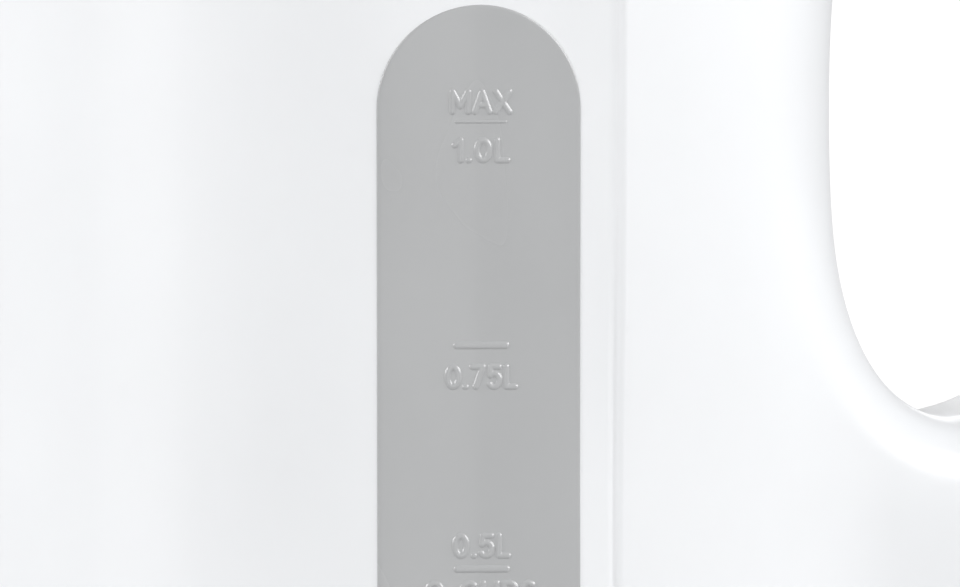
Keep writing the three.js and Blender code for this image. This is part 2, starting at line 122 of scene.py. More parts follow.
def new_object(name, verts, faces, material, body):
    """Makes a smooth-shaded piece and rides it on a body."""
    mesh = frame_mesh(name, verts, faces)
    mesh.validate()
    mesh.polygons.foreach_set("use_smooth", [True] * len(mesh.polygons))
    obj = linked(name, mesh)
    mesh.materials.append(material)
    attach(obj, body)
    return obj


@contextlib.contextmanager
def editing(obj):
    """Opens an object's mesh for editing, and writes it back."""
    bm = bmesh.new()
    bm.from_mesh(obj.data)
    yield bm
    bm.to_mesh(obj.data)
    bm.free()


def smooth_by_angle(obj, degrees=35):
    """Smooth shading, with edges sharper than the angle kept sharp."""
    with editing(obj) as bm:
        for face in bm.faces:
            face.smooth = True
        for edge in bm.edges:
            edge.smooth = edge.is_boundary or edge.calc_face_angle(0) < math.radians(degrees)


def rounded(points, radius, steps=4):
    """Rounds the corners of an open or closed 2D outline by up to the radius. Ends stay put."""
    made = [np.array(points[0], float)]
    for before, corner, after in zip(points[:-2], points[1:-1], points[2:]):
        before, corner, after = (np.array(p, float) for p in (before, corner, after))
        r = min(radius, np.linalg.norm(corner - before) / 2.05, np.linalg.norm(after - corner) / 2.05)
        start = corner + (before - corner) / np.linalg.norm(before - corner) * r
        end = corner + (after - corner) / np.linalg.norm(after - corner) * r
        for t in np.linspace(0, 1, steps + 1):
            made.append((1 - t) ** 2 * start + 2 * t * (1 - t) * corner + t * t * end)
    made.append(np.array(points[-1], float))
    return made


def ring_faces(rings, count, closed_profile):
    """Quads between successive rings of points, each with the same count."""
    faces = []
    spans = rings if closed_profile else rings - 1
    for ring in range(spans):
        upper = (ring + 1) % rings
        for i in range(count):
            j = (i + 1) % count
            faces.append((ring * count + i, ring * count + j, upper * count + j, upper * count + i))
    return faces


def lathe(name, profile, material, body, radius=0.5, segments=128, centre=(0, 0), closed=False):
    """Turns an outline of (radius, height) points, corners rounded, about a vertical axis."""
    if closed:
        middle = [(a + b) / 2 for a, b in zip(profile[0], profile[-1])]
        profile = [middle, *profile, middle]
    outline = rounded(profile, radius) if radius else [np.array(p, float) for p in profile]
    if closed:
        outline = outline[:-1]
    angles = np.linspace(0, 2 * math.pi, segments, endpoint=False)
    verts = [
        (centre[0] + r * math.cos(a), centre[1] + r * math.sin(a), z) for r, z in outline for a in angles
    ]
    faces = ring_faces(len(outline), segments, closed)
    obj = new_object(name, verts, faces, material, body)
    tidy_mesh(obj)
    smooth_by_angle(obj)
    return obj


def tidy_mesh(obj, distance=0.00001):
    """Merges points that meet, drops empty faces and turns the faces outwards."""
    with editing(obj) as bm:
        bmesh.ops.remove_doubles(bm, verts=bm.verts, dist=distance)
        bmesh.ops.dissolve_degenerate(bm, edges=bm.edges, dist=distance / 4)
        bmesh.ops.recalc_face_normals(bm, faces=bm.faces)


def apply_modifier(obj):
    depsgraph = bpy.context.evaluated_depsgraph_get()
    mesh = bpy.data.meshes.new_from_object(obj.evaluated_get(depsgraph))
    obj.modifiers.clear()
    obj.data = mesh


def bevel(obj, width, segments=3, angle=30):
    """Rounds an object's sharp edges, by a width in millimetres."""
    modifier = obj.modifiers.new("bevel", "BEVEL")
    modifier.width = width * MM
    modifier.segments = segments
    modifier.limit_method = "ANGLE"
    modifier.angle_limit = math.radians(angle)
    apply_modifier(obj)


def extruded(outline, y0, y1):
    """The corners and faces of a side-view outline of (x, z) points, extruded across."""
    count = len(outline)
    verts = [(x, y, z) for y in (y0, y1) for x, z in outline]
    faces = [tuple(range(count)), tuple(range(2 * count - 1, count - 1, -1))]
    faces += [(i, i + count, (i + 1) % count + count, (i + 1) % count) for i in range(count)]
    return verts, faces


def box_outline(x0, x1, low, high):
    return [(x0, low), (x1, low), (x1, high), (x0, high)]


def prism(name, outline, y0, y1, material, body, width=0.4):
    """A side-view outline extruded across, with its edges rounded."""
    obj = new_object(name, *extruded(outline, y0, y1), material, body)
    tidy_mesh(obj)
    if width:
        bevel(obj, width)
    smooth_by_angle(obj)
    return obj


def cut_away(obj, *tools):
    """Subtracts other objects from one, and removes them."""
    for tool in tools:
        modifier = obj.modifiers.new("cut", "BOOLEAN")
        modifier.operation = "DIFFERENCE"
        modifier.solver = "EXACT"
        modifier.object = tool
        apply_modifier(obj)
        bpy.data.objects.remove(tool)
    return obj


def tool_mesh(verts, faces):
    """A solid that cuts another piece."""
    obj = linked("tool", frame_mesh("tool", verts, faces))
    tidy_mesh(obj)
    return obj


def tool_prism(outline, y0, y1):
    return tool_mesh(*extruded(outline, y0, y1))


def tool_box(low, high):
    verts = [(x, y, z) for x in (low[0], high[0]) for y in (low[1], high[1]) for z in (low[2], high[2])]
    faces = [(0, 1, 3, 2), (4, 6, 7, 5), (0, 4, 5, 1), (2, 3, 7, 6), (0, 2, 6, 4), (1, 5, 7, 3)]
    return tool_mesh(verts, faces)


# ---------- smooth fields, for the jug's flowing form ----------


def smooth_max(a, b, blend):
    near = np.maximum(blend - np.abs(a - b), 0) / blend
    return np.maximum(a, b) + near * near * blend / 4


def smooth_min(a, b, blend):
    return -smooth_max(-a, -b, blend)


def smoothstep(low, high, value):
    t = np.clip((value - low) / (high - low), 0, 1)
    return t * t * (3 - 2 * t)


def rounded_both(a, b, radius):
    """The field of what lies inside both, with their shared edge rounded."""
    outer = np.hypot(np.maximum(a + radius, 0), np.maximum(b + radius, 0))
    return outer + np.minimum(np.maximum(a + radius, b + radius), 0) - radius


def catmull_rom(points):
    """A smooth curve through points, with its ends repeated."""
    points = np.array(points, float)
    padded = np.vstack([points[0], points, points[-1]])
    curve = []
    for p0, p1, p2, p3 in zip(padded[:-3], padded[1:-2], padded[2:-1], padded[3:]):
        v0, v1 = (p2 - p0) / 2, (p3 - p1) / 2
        for t in np.linspace(0, 1, 24, endpoint=False):
            curve.append(
                (2 * p1 - 2 * p2 + v0 + v1) * t**3 + (-3 * p1 + 3 * p2 - 2 * v0 - v1) * t**2 + v0 * t + p1
            )
    curve.append(points[-1])
    return np.array(curve)


class SideField:
    """The signed distance to a closed side-view outline, held on a fine grid."""

    STEP = 0.5

    def __init__(self, outline, low, high):
        self.low = np.array(low, float)
        xs = np.arange(low[0], high[0] + self.STEP, self.STEP)
        zs = np.arange(low[1], high[1] + self.STEP, self.STEP)
        grid = np.stack(np.meshgrid(xs, zs, indexing="ij"), -1).reshape(-1, 2)
        self.values = self.distance(grid, np.asarray(outline, float)).reshape(len(xs), len(zs))

    @staticmethod
    def distance(points, outline):
        nearest = np.full(len(points), np.inf)
        inside = np.zeros(len(points), bool)
        for a, b in zip(outline, np.roll(outline, -1, axis=0)):
            along = b - a
            length = max(along @ along, 1e-12)
            share = np.clip(((points - a) @ along) / length, 0, 1)
            gap = points - a - share[:, None] * along
            nearest = np.minimum(nearest, (gap * gap).sum(1))
            crosses = (a[1] > points[:, 1]) != (b[1] > points[:, 1])
            if abs(along[1]) > 1e-12:
                meets = a[0] + (points[:, 1] - a[1]) / along[1] * along[0]
                inside ^= crosses & (points[:, 0] < meets)
        return np.sqrt(nearest) * np.where(inside, -1, 1)

    def __call__(self, x, z):
        i = np.clip((x - self.low[0]) / self.STEP, 0, self.values.shape[0] - 1.001)
        k = np.clip((z - self.low[1]) / self.STEP, 0, self.values.shape[1] - 1.001)
        i0, k0 = i.astype(int), k.astype(int)
        share_x, share_z = i - i0, k - k0
        v = self.values
        low = v[i0, k0] * (1 - share_x) + v[i0 + 1, k0] * share_x
        high = v[i0, k0 + 1] * (1 - share_x) + v[i0 + 1, k0 + 1] * share_x
        return low * (1 - share_z) + high * share_z


def surface_nets(values, low, step):
    """A quad mesh of a field's zero level."""
    inside = values < 0
    corners = [(i, j, k) for i in (0, 1) for j in (0, 1) for k in (0, 1)]
    size = [n - 1 for n in values.shape]

    def at(array, corner):
        return array[tuple(slice(c, c + n) for c, n in zip(corner, size))]

    count = sum(at(inside, c).astype(np.int8) for c in corners)
    mixed = (count > 0) & (count < 8)
    cells = np.argwhere(mixed)
    number = np.full(size, -1)
    number[mixed] = np.arange(len(cells))
    total = np.zeros((len(cells), 3))
    hits = np.zeros(len(cells))
    for a in corners:
        for axis in range(3):
            if a[axis]:
                continue
            b = tuple(c + (n == axis) for n, c in enumerate(a))
            va, vb = at(values, a)[mixed], at(values, b)[mixed]
            crosses = (va < 0) != (vb < 0)
            share = np.where(crosses, va / np.where(crosses, va - vb, 1), 0)
            place = np.array(a, float) + np.zeros((len(cells), 3))
            place[:, axis] += share
            total += place * crosses[:, None]
            hits += crosses
    verts = low + step * (cells + total / hits[:, None])
    faces = []
    for axis in range(3):
        u, v = (axis + 1) % 3, (axis + 2) % 3
        first = np.take(inside, range(0, size[axis]), axis)
        second = np.take(inside, range(1, size[axis] + 1), axis)
        edges = np.argwhere(first != second)
        within = (edges[:, u] > 0) & (edges[:, v] > 0) & (edges[:, u] < size[u]) & (edges[:, v] < size[v])
        edges = edges[within]
        step_u, step_v = np.zeros(3, int), np.zeros(3, int)
        step_u[u], step_v[v] = 1, 1
        quad = [
            number[tuple((edges - du * step_u - dv * step_v).T)]
            for du, dv in ((1, 1), (0, 1), (0, 0), (1, 0))
        ]
        quad = np.stack(quad, 1)
        flip = ~first[tuple(edges.T)]
        quad[flip] = quad[flip][:, ::-1]
        faces.append(quad)
    return verts, np.vstack(faces)


def gradient(field, points, reach=0.25):
    found = np.zeros_like(points)
    for axis in range(3):
        shift = np.zeros(3)
        shift[axis] = reach
        found[:, axis] = (field(*(points + shift).T) - field(*(points - shift).T)) / (2 * reach)
    return found


def settle(field, points):
    """Moves points onto the field's zero level."""
    for _ in range(4):
        slope = gradient(field, points)
        length = np.maximum((slope * slope).sum(1), 0.05)
        move = field(*points.T) / length
        points = points - slope * np.clip(move, -0.6, 0.6)[:, None]
    return points


# ---------- the jug's field ----------

SKIN_FIT = np.polyfit([z for z, _ in SKIN[1:]], [r for _, r in SKIN[1:]], 3)
HANDLE_BACK = [
    (44, 205), (58, 206.5), (70, 211), (83, 213.5), (97, 211), (108.5, 202), (113.8, 187),
    (114.5, 168), (111.5, 145), (103, 121), (91, 101), (80, 84), (72, 67), (67.5, 50), (66, TAIL_END),
]
GROOVE = {"x": 17.4, "width": 0.55, "depth": 0.22, "side": 40}
# The cosine of the spout's slant, which turns a level distance into a true one.
CONE_SLANT = 0.913


def skin_radius(z):
    return np.polyval(SKIN_FIT, z)


def opening_outline(steps=240):
    bend = 2 / OPENING["power"]
    angles = np.linspace(0, 2 * math.pi, steps, endpoint=False)
    c, s = np.cos(angles), np.sin(angles)
    reach = np.where(c > 0, OPENING["rear"], OPENING["front"])
    x = OPENING["x"] + reach * np.sign(c) * np.abs(c) ** bend
    z = OPENING["z"] + OPENING["half"] * np.sign(s) * np.abs(s) ** bend
    return np.stack([x, z], 1)


back_outline = np.vstack([catmull_rom(HANDLE_BACK), [(-6, TAIL_END), (-6, 196), (30, 204)]])
SIDE_LOW, SIDE_HIGH = (-30, FOOT - 20), (125, 225)
back_field = SideField(back_outline, SIDE_LOW, SIDE_HIGH)
opening_field = SideField(opening_outline(), SIDE_LOW, SIDE_HIGH)


def handle_half_width(x, z):
    """Half the handle's width: the cheeks come off the round wall and close on the grip."""
    start = CHEEK["half"] + CHEEK["lean"] * (smooth_min(z, np.full_like(z, CHEEK["level"]), 40) - TAIL_END)
    slope = CHEEK["slope"] + 0.5 * smoothstep(110, 195, z)
    behind = x - CHEEK["front"]
    cheek = start - slope * np.maximum(behind, 0) - 0.7 * np.maximum(-behind, 0)
    return smooth_max(np.full_like(cheek, GRIP["half"]), cheek, 14)


def beak_field(x, y, z):
    """How far a place lies outside the spout's cone, measured level."""
    foot = RIM - SPOUT["height"]
    radius = SPOUT["foot"] + (z - foot) * (SPOUT["mouth"] - SPOUT["foot"]) / SPOUT["height"]
    return np.hypot(x - (SPOUT["tip"] + SPOUT["mouth"]), y) - radius


def window_field(x, z):
    """The signed distance to the window's edge, moved inwards by its lip, in side view."""
    middle = (WINDOW["top"] + WINDOW["bottom"]) / 2
    straight = (WINDOW["top"] - WINDOW["bottom"]) / 2 - WINDOW["half"]
    return np.hypot(x, np.maximum(np.abs(z - middle) - straight, 0)) - WINDOW["half"] + WINDOW["lip"]


def jug_outside(x, y, z):
    r = np.hypot(x, y)
    wall = smooth_max(r - skin_radius(z), FOOT - z, 3)
    wall = smooth_max(wall, z - RIM, 1.4)
    side = smooth_max(back_field(x, z), -opening_field(x, z), 0.5)
    handle = rounded_both(side, 0.9 * (np.abs(y) - handle_half_width(x, z)), GRIP["round"])
    handle = smooth_max(handle, np.minimum(BEHIND_LID - x, z - RIM + 0.2), 1.2)
    made = smooth_min(wall, handle, 9)
    beak = smooth_max(CONE_SLANT * beak_field(x, y, z), z - RIM, 1.4)
    made = smooth_min(made, beak, 5)
    segment = smooth_max(r - REAR_RIM["radius"], np.abs(z - REAR_RIM["middle"]) - REAR_RIM["reach"], 1.2)
    segment = smooth_max(segment, BEHIND_LID - x, 1.2)
    made = smooth_min(made, segment, 3)
    depth = GROOVE["depth"] * (1 + 0.5 * smoothstep(150, 130, z)) * smoothstep(RIM - 1, RIM - 8, z)
    return made + depth * np.exp(-(((x - GROOVE["x"]) / GROOVE["width"]) ** 2)) * (np.abs(y) > GROOVE["side"])


def jug_field(x, y, z):
    made = jug_outside(x, y, z)
    r = np.hypot(x, y)
    ledge = PLATE_LEDGE["depth"] * smoothstep(*PLATE_LEDGE["under"], z) * smoothstep(*PLATE_LEDGE["over"], z)
    made = smooth_max(made, (INNER_R - ledge) - r, 0.8)
    hole = np.maximum(window_field(x, z), WINDOW["side"] - np.abs(y))
    made = np.maximum(made, -hole)
    channel = CONE_SLANT * (beak_field(x, y, np.minimum(z, RIM)) + SPOUT["wall"])
    channel = np.maximum(channel, x - SPOUT["inner_end"])
    made = smooth_max(made, -channel, 1.0)
    tall = np.abs(z - SWITCH_SLOT["middle"]) - SWITCH_SLOT["reach"]
    slot = np.maximum(np.maximum(np.abs(y) - SWITCH_SLOT["half"], tall), SWITCH_SLOT["front"] - x)
    made = smooth_max(made, -slot, 0.8)
    tall = np.abs(z - LID_SHELF["middle"]) - LID_SHELF["reach"]
    shelf = smooth_max(r - LID_SHELF["radius"], tall, 1.2)
    shelf = smooth_max(shelf, LID_SHELF["front"] - x, 1.2)
    return smooth_min(made, shelf, 0.8)


def field_mesh(field, low, high, step):
    """A field's surface, made slab by slab and settled onto the true form."""
    axes = [np.arange(a, b + step, step) for a, b in zip(low, high)]
    values = np.empty([len(a) for a in axes])
    for i, x in enumerate(axes[0]):
        y, z = np.meshgrid(axes[1], axes[2], indexing="ij")
        values[i] = field(np.full_like(y, x), y, z)
    verts, faces = surface_nets(values, np.array([a[0] for a in axes]), step)
    return settle(field, verts), faces


def attribute(items, name, width=1, kind=float):
    values = np.empty(len(items) * width, kind)
    items.foreach_get(name, values)
    return values.reshape(-1, width) if width > 1 else values


def field_normals(obj, field):
    """Shades the faces that lie on a field by the field's own slope, and the rest flat."""
    mesh = obj.data
    points = (attribute(mesh.vertices, "co", 3) - (AXIS_X, 0, 0)) / MM
    slope = gradient(field, points, 0.2)
    slope /= np.maximum(np.linalg.norm(slope, axis=1), 1e-9)[:, None]
    on_field = np.abs(field(*points.T)) < 0.03
    loops = attribute(mesh.loops, "vertex_index", kind=int)
    totals = attribute(mesh.polygons, "loop_total", kind=int)
    own = np.repeat(attribute(mesh.polygons, "normal", 3), totals, axis=0)
    agrees = (slope[loops] * own).sum(1) > 0.75
    normals = np.where((on_field[loops] & agrees)[:, None], slope[loops], own)
    mesh.normals_split_custom_set(normals.tolist())


# ---------- level windows and their marks ----------


def skin_y(x, z):
    """How far out the jug's skin lies across the kettle, at places in side view."""
    near, far = np.full(np.shape(x), 45.0), np.full(np.shape(x), 64.0)
    for _ in range(24):
        middle = (near + far) / 2
        beyond = jug_outside(x, middle, z) > 0
        far = np.where(beyond, middle, far)
        near = np.where(beyond, near, middle)
    return near


def stadium_ring(inset, count=160):
    """Points round the window's outline, moved inwards by a distance, in side view."""
    radius = max(WINDOW["half"] - inset, 0.0)
    top = WINDOW["top"] - WINDOW["half"]
    bottom = WINDOW["bottom"] + WINDOW["half"]
    quarter = count // 4
    points = []
    for centre, start, following in ((top, 0, bottom), (bottom, math.pi, top)):
        for a in np.linspace(start, start + math.pi, quarter + 1):
            points.append((radius * math.cos(a), centre + radius * math.sin(a)))
        side = -1 if start == 0 else 1
        for z in np.linspace(centre, following, quarter + 1)[1:-1]:
            points.append((side * radius, z))
    return points


def window_piece(name, side, material):
    """A pane with a slightly proud, rounded edge outside and a wider flange inside."""
    rise, inside = WINDOW["rise"], WINDOW["inside"]
    outer = [(0.0, -0.3), (0.0, 0.06), (0.04, 0.11), (0.12, 0.14), (0.3, rise), (0.6, rise)]
    outer += [(t, rise) for t in np.linspace(1.5, WINDOW["half"], 10)]
    inner = [(t, inside) for t in np.linspace(WINDOW["half"], -2.6, 14)]
    inner += [(-3.0, inside + 0.3), (-3.0, inside + 1.2), (WINDOW["lip"], inside + 1.2)]
    rings, verts = 0, []
    count = len(stadium_ring(1))
    for inset, height in [*reversed(outer), (WINDOW["lip"], -0.3)]:
        x, z = np.array(stadium_ring(inset)).T
        verts += list(zip(x, side * (skin_y(x, z) + height), z))
        rings += 1
    for inset, radius in reversed(inner):
        for x, z in stadium_ring(inset):
            verts.append((x, side * math.sqrt(radius**2 - x * x), z))
        rings += 1
    obj = new_object(name, verts, ring_faces(rings, count, False), material, "jug")
    tidy_mesh(obj, 0.00002)
    smooth_by_angle(obj, 60)
    return obj


def arc(cx, cz, rx, rz, start, end, steps=14):
    angles = np.radians(np.linspace(start, end, steps))
    return [(cx + rx * math.cos(a), cz + rz * math.sin(a)) for a in angles]


# Plain round-ended strokes for each character, on a cap height of 1, with its width.
STROKES = {
    "M": (0.92, [[(0, 0), (0, 1), (0.46, 0.28), (0.92, 1), (0.92, 0)]]),
    "A": (0.86, [[(0, 0), (0.43, 1), (0.86, 0)], [(0.15, 0.33), (0.71, 0.33)]]),
    "X": (0.8, [[(0, 0), (0.8, 1)], [(0, 1), (0.8, 0)]]),
    "L": (0.52, [[(0, 1), (0, 0), (0.52, 0)]]),
    ".": (0.02, [[(0, 0), (0.02, 0)]]),
    "0": (0.62, [arc(0.31, 0.5, 0.31, 0.5, 0, 360, 33)]),
    "1": (0.3, [[(0, 0.76), (0.3, 1), (0.3, 0)]]),
    "2": (0.6, [[*arc(0.3, 0.7, 0.3, 0.3, 165, -35), (0, 0), (0.62, 0)]]),
    "5": (0.6, [[(0.55, 1), (0.1, 1), (0.05, 0.56), *arc(0.27, 0.33, 0.33, 0.33, 120, -145)]]),
    "7": (0.6, [[(0, 1), (0.6, 1), (0.2, 0)]]),
    "C": (0.72, [arc(0.4, 0.5, 0.4, 0.5, 50, 310, 25)]),
    "U": (0.7, [[(0, 1), *arc(0.35, 0.34, 0.35, 0.34, 180, 360), (0.7, 1)]]),
    "P": (0.58, [[(0, 0), (0, 1), (0.3, 1), *arc(0.3, 0.74, 0.28, 0.26, 90, -90), (0, 0.48)]]),
    "S": (0.6, [[*arc(0.3, 0.74, 0.28, 0.26, 40, 270), *arc(0.3, 0.24, 0.3, 0.24, 90, -140)]]),
    " ": (0.3, []),
}
GLYPH = {"height": 2.45, "stroke": 0.34, "gap": 0.95, "rise": 0.16}


def text_strokes(text, middle_z, width=None):
    """A word's strokes in side view, centred on x = 0 and stretched to a width if one is given."""
    height = GLYPH["height"]
    gap = GLYPH["gap"]
    natural = sum(STROKES[c][0] * height for c in text) + gap * (len(text) - 1)
    stretch = (width / natural) if width else 1
    x = -natural * stretch / 2
    strokes = []
    for character in text:
        advance, lines = STROKES[character]
        for line in lines:
            strokes.append([(x + px * height * stretch, middle_z + (pz - 0.5) * height) for px, pz in line])
        x += (advance * height + gap) * stretch
    return strokes


def stroke_distance(points, strokes):
    nearest = np.full(len(points), np.inf)
    for line in strokes:
        for a, b in zip(line[:-1], line[1:]):
            a, b = np.array(a), np.array(b)
            along = b - a
            share = np.clip(((points - a) @ along) / max(along @ along, 1e-9), 0, 1)
            nearest = np.minimum(nearest, np.linalg.norm(points - a - share[:, None] * along, axis=1))
    return nearest


def raised_marks(name, side, marks, material):
    """Raised letters and lines as one mesh: low plateaus with rounded shoulders on the pane."""
    step = 0.09
    verts, faces = [], []
    for strokes, half_stroke in marks:
        xs, zs = zip(*[p for line in strokes for p in line])
        gx = np.arange(min(xs) - 0.9, max(xs) + 0.9, step)
        gz = np.arange(min(zs) - 0.9, max(zs) + 0.9, step)
        grid = np.stack(np.meshgrid(gx, gz, indexing="ij"), -1).reshape(-1, 2)
        reach = stroke_distance(grid, strokes) - half_stroke
        rise = GLYPH["rise"] * (1 - smoothstep(-0.26, 0.16, reach)) - 0.05 * smoothstep(-0.05, 0.2, reach)
        number = np.full(len(grid), -1)
        kept = np.flatnonzero(reach < 0.34)
        number[kept] = len(verts) + np.arange(len(kept))
        x, z = -side * grid[kept, 0], grid[kept, 1]
        verts += list(zip(x, side * (skin_y(x, z) + WINDOW["rise"] + rise[kept]), z))
        number = number.reshape(len(gx), len(gz))
        a, b = number[:-1, :-1], number[1:, :-1]
        c, d = number[1:, 1:], number[:-1, 1:]
        whole = (a >= 0) & (b >= 0) & (c >= 0) & (d >= 0)
        faces += [tuple(f) for f in np.stack([a[whole], b[whole], c[whole], d[whole]], 1)]
    obj = new_object(name, verts, faces, material, "jug")
    with editing(obj) as bm:
        bmesh.ops.recalc_face_normals(bm, faces=bm.faces)
        if sum(f.normal.y for f in bm.faces) * side < 0:
            bmesh.ops.reverse_faces(bm, faces=bm.faces)
    return obj


def level_marks():
    """The volume marks from the fill line down: each has its line and its words."""
    line_half = 3.1
    marks = []
    for share, offset, width in ((0.75, -3.85, 8.5), (0.5, 2.85, 6.7), (0.25, -3.85, 8.5)):
        z = MAX_MARK - (1 - share) * 4 * MARK_STEP
        marks.append(([[(-line_half, z), (line_half, z)]], 0.4))
        marks.append((text_strokes(f"{share:g}L", z + offset, width), GLYPH["stroke"]))
    marks.append(([[(-line_half, MAX_MARK), (line_half, MAX_MARK)]], 0.14))
    marks.append((text_strokes("MAX", MAX_MARK + 2.45, 7.2), GLYPH["stroke"]))
    marks.append((text_strokes("1.0L", MAX_MARK - 3.5, 6.7), GLYPH["stroke"]))
    half_litre = MAX_MARK - 2 * MARK_STEP
    marks.append((text_strokes("2 CUPS", half_litre - 2.95), GLYPH["stroke"]))
    return marks


# ---------- materials ----------


class Nodes:
    """A material's node tree, with a short way to add and link nodes."""

    def __init__(self, name):
        self.material = bpy.data.materials.new(name)
        self.material.use_nodes = True
        self.tree = self.material.node_tree
        self.shader = self.tree.nodes["Principled BSDF"]
        self.place = self.add("ShaderNodeTexCoord").outputs["Object"]

    def add(self, kind, inputs=(), **settings):
        node = self.tree.nodes.new(kind)
        for key, value in settings.items():
            setattr(node, key, value)
        for key, value in dict(inputs).items():
            if isinstance(value, bpy.types.NodeSocket):
                self.tree.links.new(value, node.inputs[key])
            else:
                node.inputs[key].default_value = value
        return node

    def noise(self, scale, detail=2.0, stretch=None):
        """Noise in the object's own space, stretched along an axis where the finish has a direction."""
        place = self.place
        if stretch:
            place = self.add("ShaderNodeMapping", {"Vector": place, "Scale": stretch}).outputs["Vector"]
        inputs = {"Vector": place, "Scale": scale, "Detail": detail}
        return self.add("ShaderNodeTexNoise", inputs).outputs["Fac"]

    def ranged(self, value, low, high):
        limits = {"Value": value, "From Min": 0.3, "From Max": 0.7, "To Min": low, "To Max": high}
        return self.add("ShaderNodeMapRange", limits).outputs["Result"]

    def blend(self, share, first, second):
        mix = self.add("ShaderNodeMix", data_type="RGBA")
        self.tree.links.new(share, mix.inputs["Factor"])
        mix.inputs["A"].default_value = (*first, 1)
        mix.inputs["B"].default_value = (*second, 1)
        return mix.outputs["Result"]

    def bump(self, height, distance, strength=1.0):
        found = {"Height": height, "Distance": distance, "Strength": strength}
        return self.add("ShaderNodeBump", found).outputs["Normal"]

    def finish(self, **inputs):
        for key, value in inputs.items():
            socket = self.shader.inputs[key.replace("_", " ")]
            if isinstance(value, bpy.types.NodeSocket):
                self.tree.links.new(value, socket)
            else:
                socket.default_value = value
        return self.material


def shade(color, factor):
    return tuple(min(c * factor, 1) for c in color)


def plastic(name, color, roughness, grain_mm, grain_depth, spread=0.02, variation=0.012, **constants):
    """A moulded plastic: faint cloudiness in its colour, uneven gloss and a fine surface grain."""
    nodes = Nodes(name)
    cloud = nodes.ranged(nodes.noise(38, 3), 0, 1)
    smears = nodes.noise(60, 2, (1, 1, 0.35))
    grain = nodes.noise(1 / (grain_mm * MM), 1.5)
    return nodes.finish(
        Base_Color=nodes.blend(cloud, shade(color, 1 - variation), shade(color, 1 + variation)),
        Roughness=nodes.ranged(smears, roughness - spread, roughness + spread),
        Normal=nodes.bump(grain, grain_depth * MM),
        **constants,
    )


def metal(name, color, roughness, stretch, grain_mm, grain_depth, spread=0.08):
    """A worked metal: fine marks along the way it was worked, and slight tarnish."""
    nodes = Nodes(name)
    tarnish = nodes.ranged(nodes.noise(70, 4), 0, 1)
    marks = nodes.noise(1 / (grain_mm * MM), 3, stretch)
    return nodes.finish(
        Base_Color=nodes.blend(tarnish, shade(color, 0.93), shade(color, 1.04)),
        Roughness=nodes.ranged(marks, roughness - spread, roughness + spread),
        Normal=nodes.bump(marks, grain_depth * MM),
        Metallic=1.0,
    )


def spun_metal(name, color, roughness):
    """Sheet turned on a lathe: its fine marks run round the jug's axis."""
    nodes = Nodes(name)

    def vector_math(operation, *values):
        return nodes.add("ShaderNodeVectorMath", dict(enumerate(values)), operation=operation).outputs

    centred = vector_math("SUBTRACT", nodes.place, (AXIS_X, 0, 0))["Vector"]
    flat = vector_math("MULTIPLY", centred, (1, 1, 0))["Vector"]
    radius = vector_math("LENGTH", flat)["Value"]
    marks = nodes.add("ShaderNodeTexNoise", {"W": radius, "Scale": 2600, "Detail": 3}, noise_dimensions="1D")
    water_marks = nodes.ranged(nodes.noise(130, 4), 0, 1)
    return nodes.finish(
        Base_Color=nodes.blend(water_marks, shade(color, 0.9), shade(color, 1.03)),
        Roughness=nodes.ranged(marks.outputs["Fac"], roughness - 0.07, roughness + 0.09),
        Normal=nodes.bump(marks.outputs["Fac"], 0.012 * MM),
        Metallic=1.0,
    )


WHITE = plastic(
    "white_moulded", (0.775, 0.785, 0.8), 0.3, 0.35, 0.0012, Coat_Weight=0.15, Coat_Roughness=0.12
)
GREY = plastic("grey_clear_moulded", (0.4, 0.405, 0.41), 0.26, 0.5, 0.0008, variation=0.02, Coat_Weight=0.25)
INNER = plastic("matt_white_moulded", (0.74, 0.745, 0.75), 0.5, 0.3, 0.003)
BLACK = plastic("black_moulded", (0.028, 0.028, 0.031), 0.52, 0.25, 0.008, variation=0.15)
SILICONE = plastic("pale_silicone", (0.66, 0.66, 0.64), 0.62, 0.2, 0.004, variation=0.03)
RUBBER = plastic("grey_rubber", (0.09, 0.092, 0.098), 0.78, 0.2, 0.012, variation=0.12)
ORANGE = plastic(
    "orange_clear", (0.86, 0.24, 0.035), 0.14, 0.5, 0.0006, variation=0.03, Transmission_Weight=0.35, IOR=1.49
)
SPUN_STEEL = spun_metal("spun_steel", (0.6, 0.6, 0.61), 0.27)
DRAWN_STEEL = metal("drawn_steel", (0.56, 0.56, 0.57), 0.3, (1, 1, 0.05), 0.12, 0.004)
ALUMINIUM = metal("rolled_aluminium", (0.66, 0.67, 0.68), 0.38, (0.06, 1, 1), 0.15, 0.006)
BRASS = metal("turned_brass", (0.72, 0.5, 0.21), 0.28, (0.2, 0.2, 1), 0.1, 0.004)


def stands_for(obj, *nodes):
    """Hides the CAD nodes that a piece takes the place of, and returns the piece."""
    if nodes:
        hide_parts(*nodes)
    return obj


def block(name, low, high, material, body, width=0.4):
    """A block between two corners, in millimetres, with rounded edges."""
    outline = box_outline(low[0], high[0], low[2], high[2])
    return prism(name, outline, low[1], high[1], material, body, width)


def circle(centre, radius, start=0, end=360, steps=32):
    """Points round a circle in a plane; a whole circle's last point isn't repeated."""
    whole = end - start >= 360
    angles = np.radians(np.linspace(start, end, steps, endpoint=not whole))
    return [(centre[0] + radius * math.cos(a), centre[1] + radius * math.sin(a)) for a in angles]


def cross_rod(name, centre, radius, half, material, body, width=0.3):
    return prism(name, circle(centre, radius), -half, half, material, body, width)


def ring_points(centre, radius, count):
    angles = np.linspace(0, 2 * math.pi, count, endpoint=False)
    return [(centre[0] + radius * math.cos(a), centre[1] + radius * math.sin(a)) for a in angles]


def tool_rod(verts):
    """A cylinder that cuts another piece, from the corners of its two end rings."""
    count = len(verts) // 2
    faces = [tuple(range(count - 1, -1, -1)), tuple(range(count, 2 * count))]
    faces += [(i, (i + 1) % count, (i + 1) % count + count, i + count) for i in range(count)]
    return tool_mesh(verts, faces)


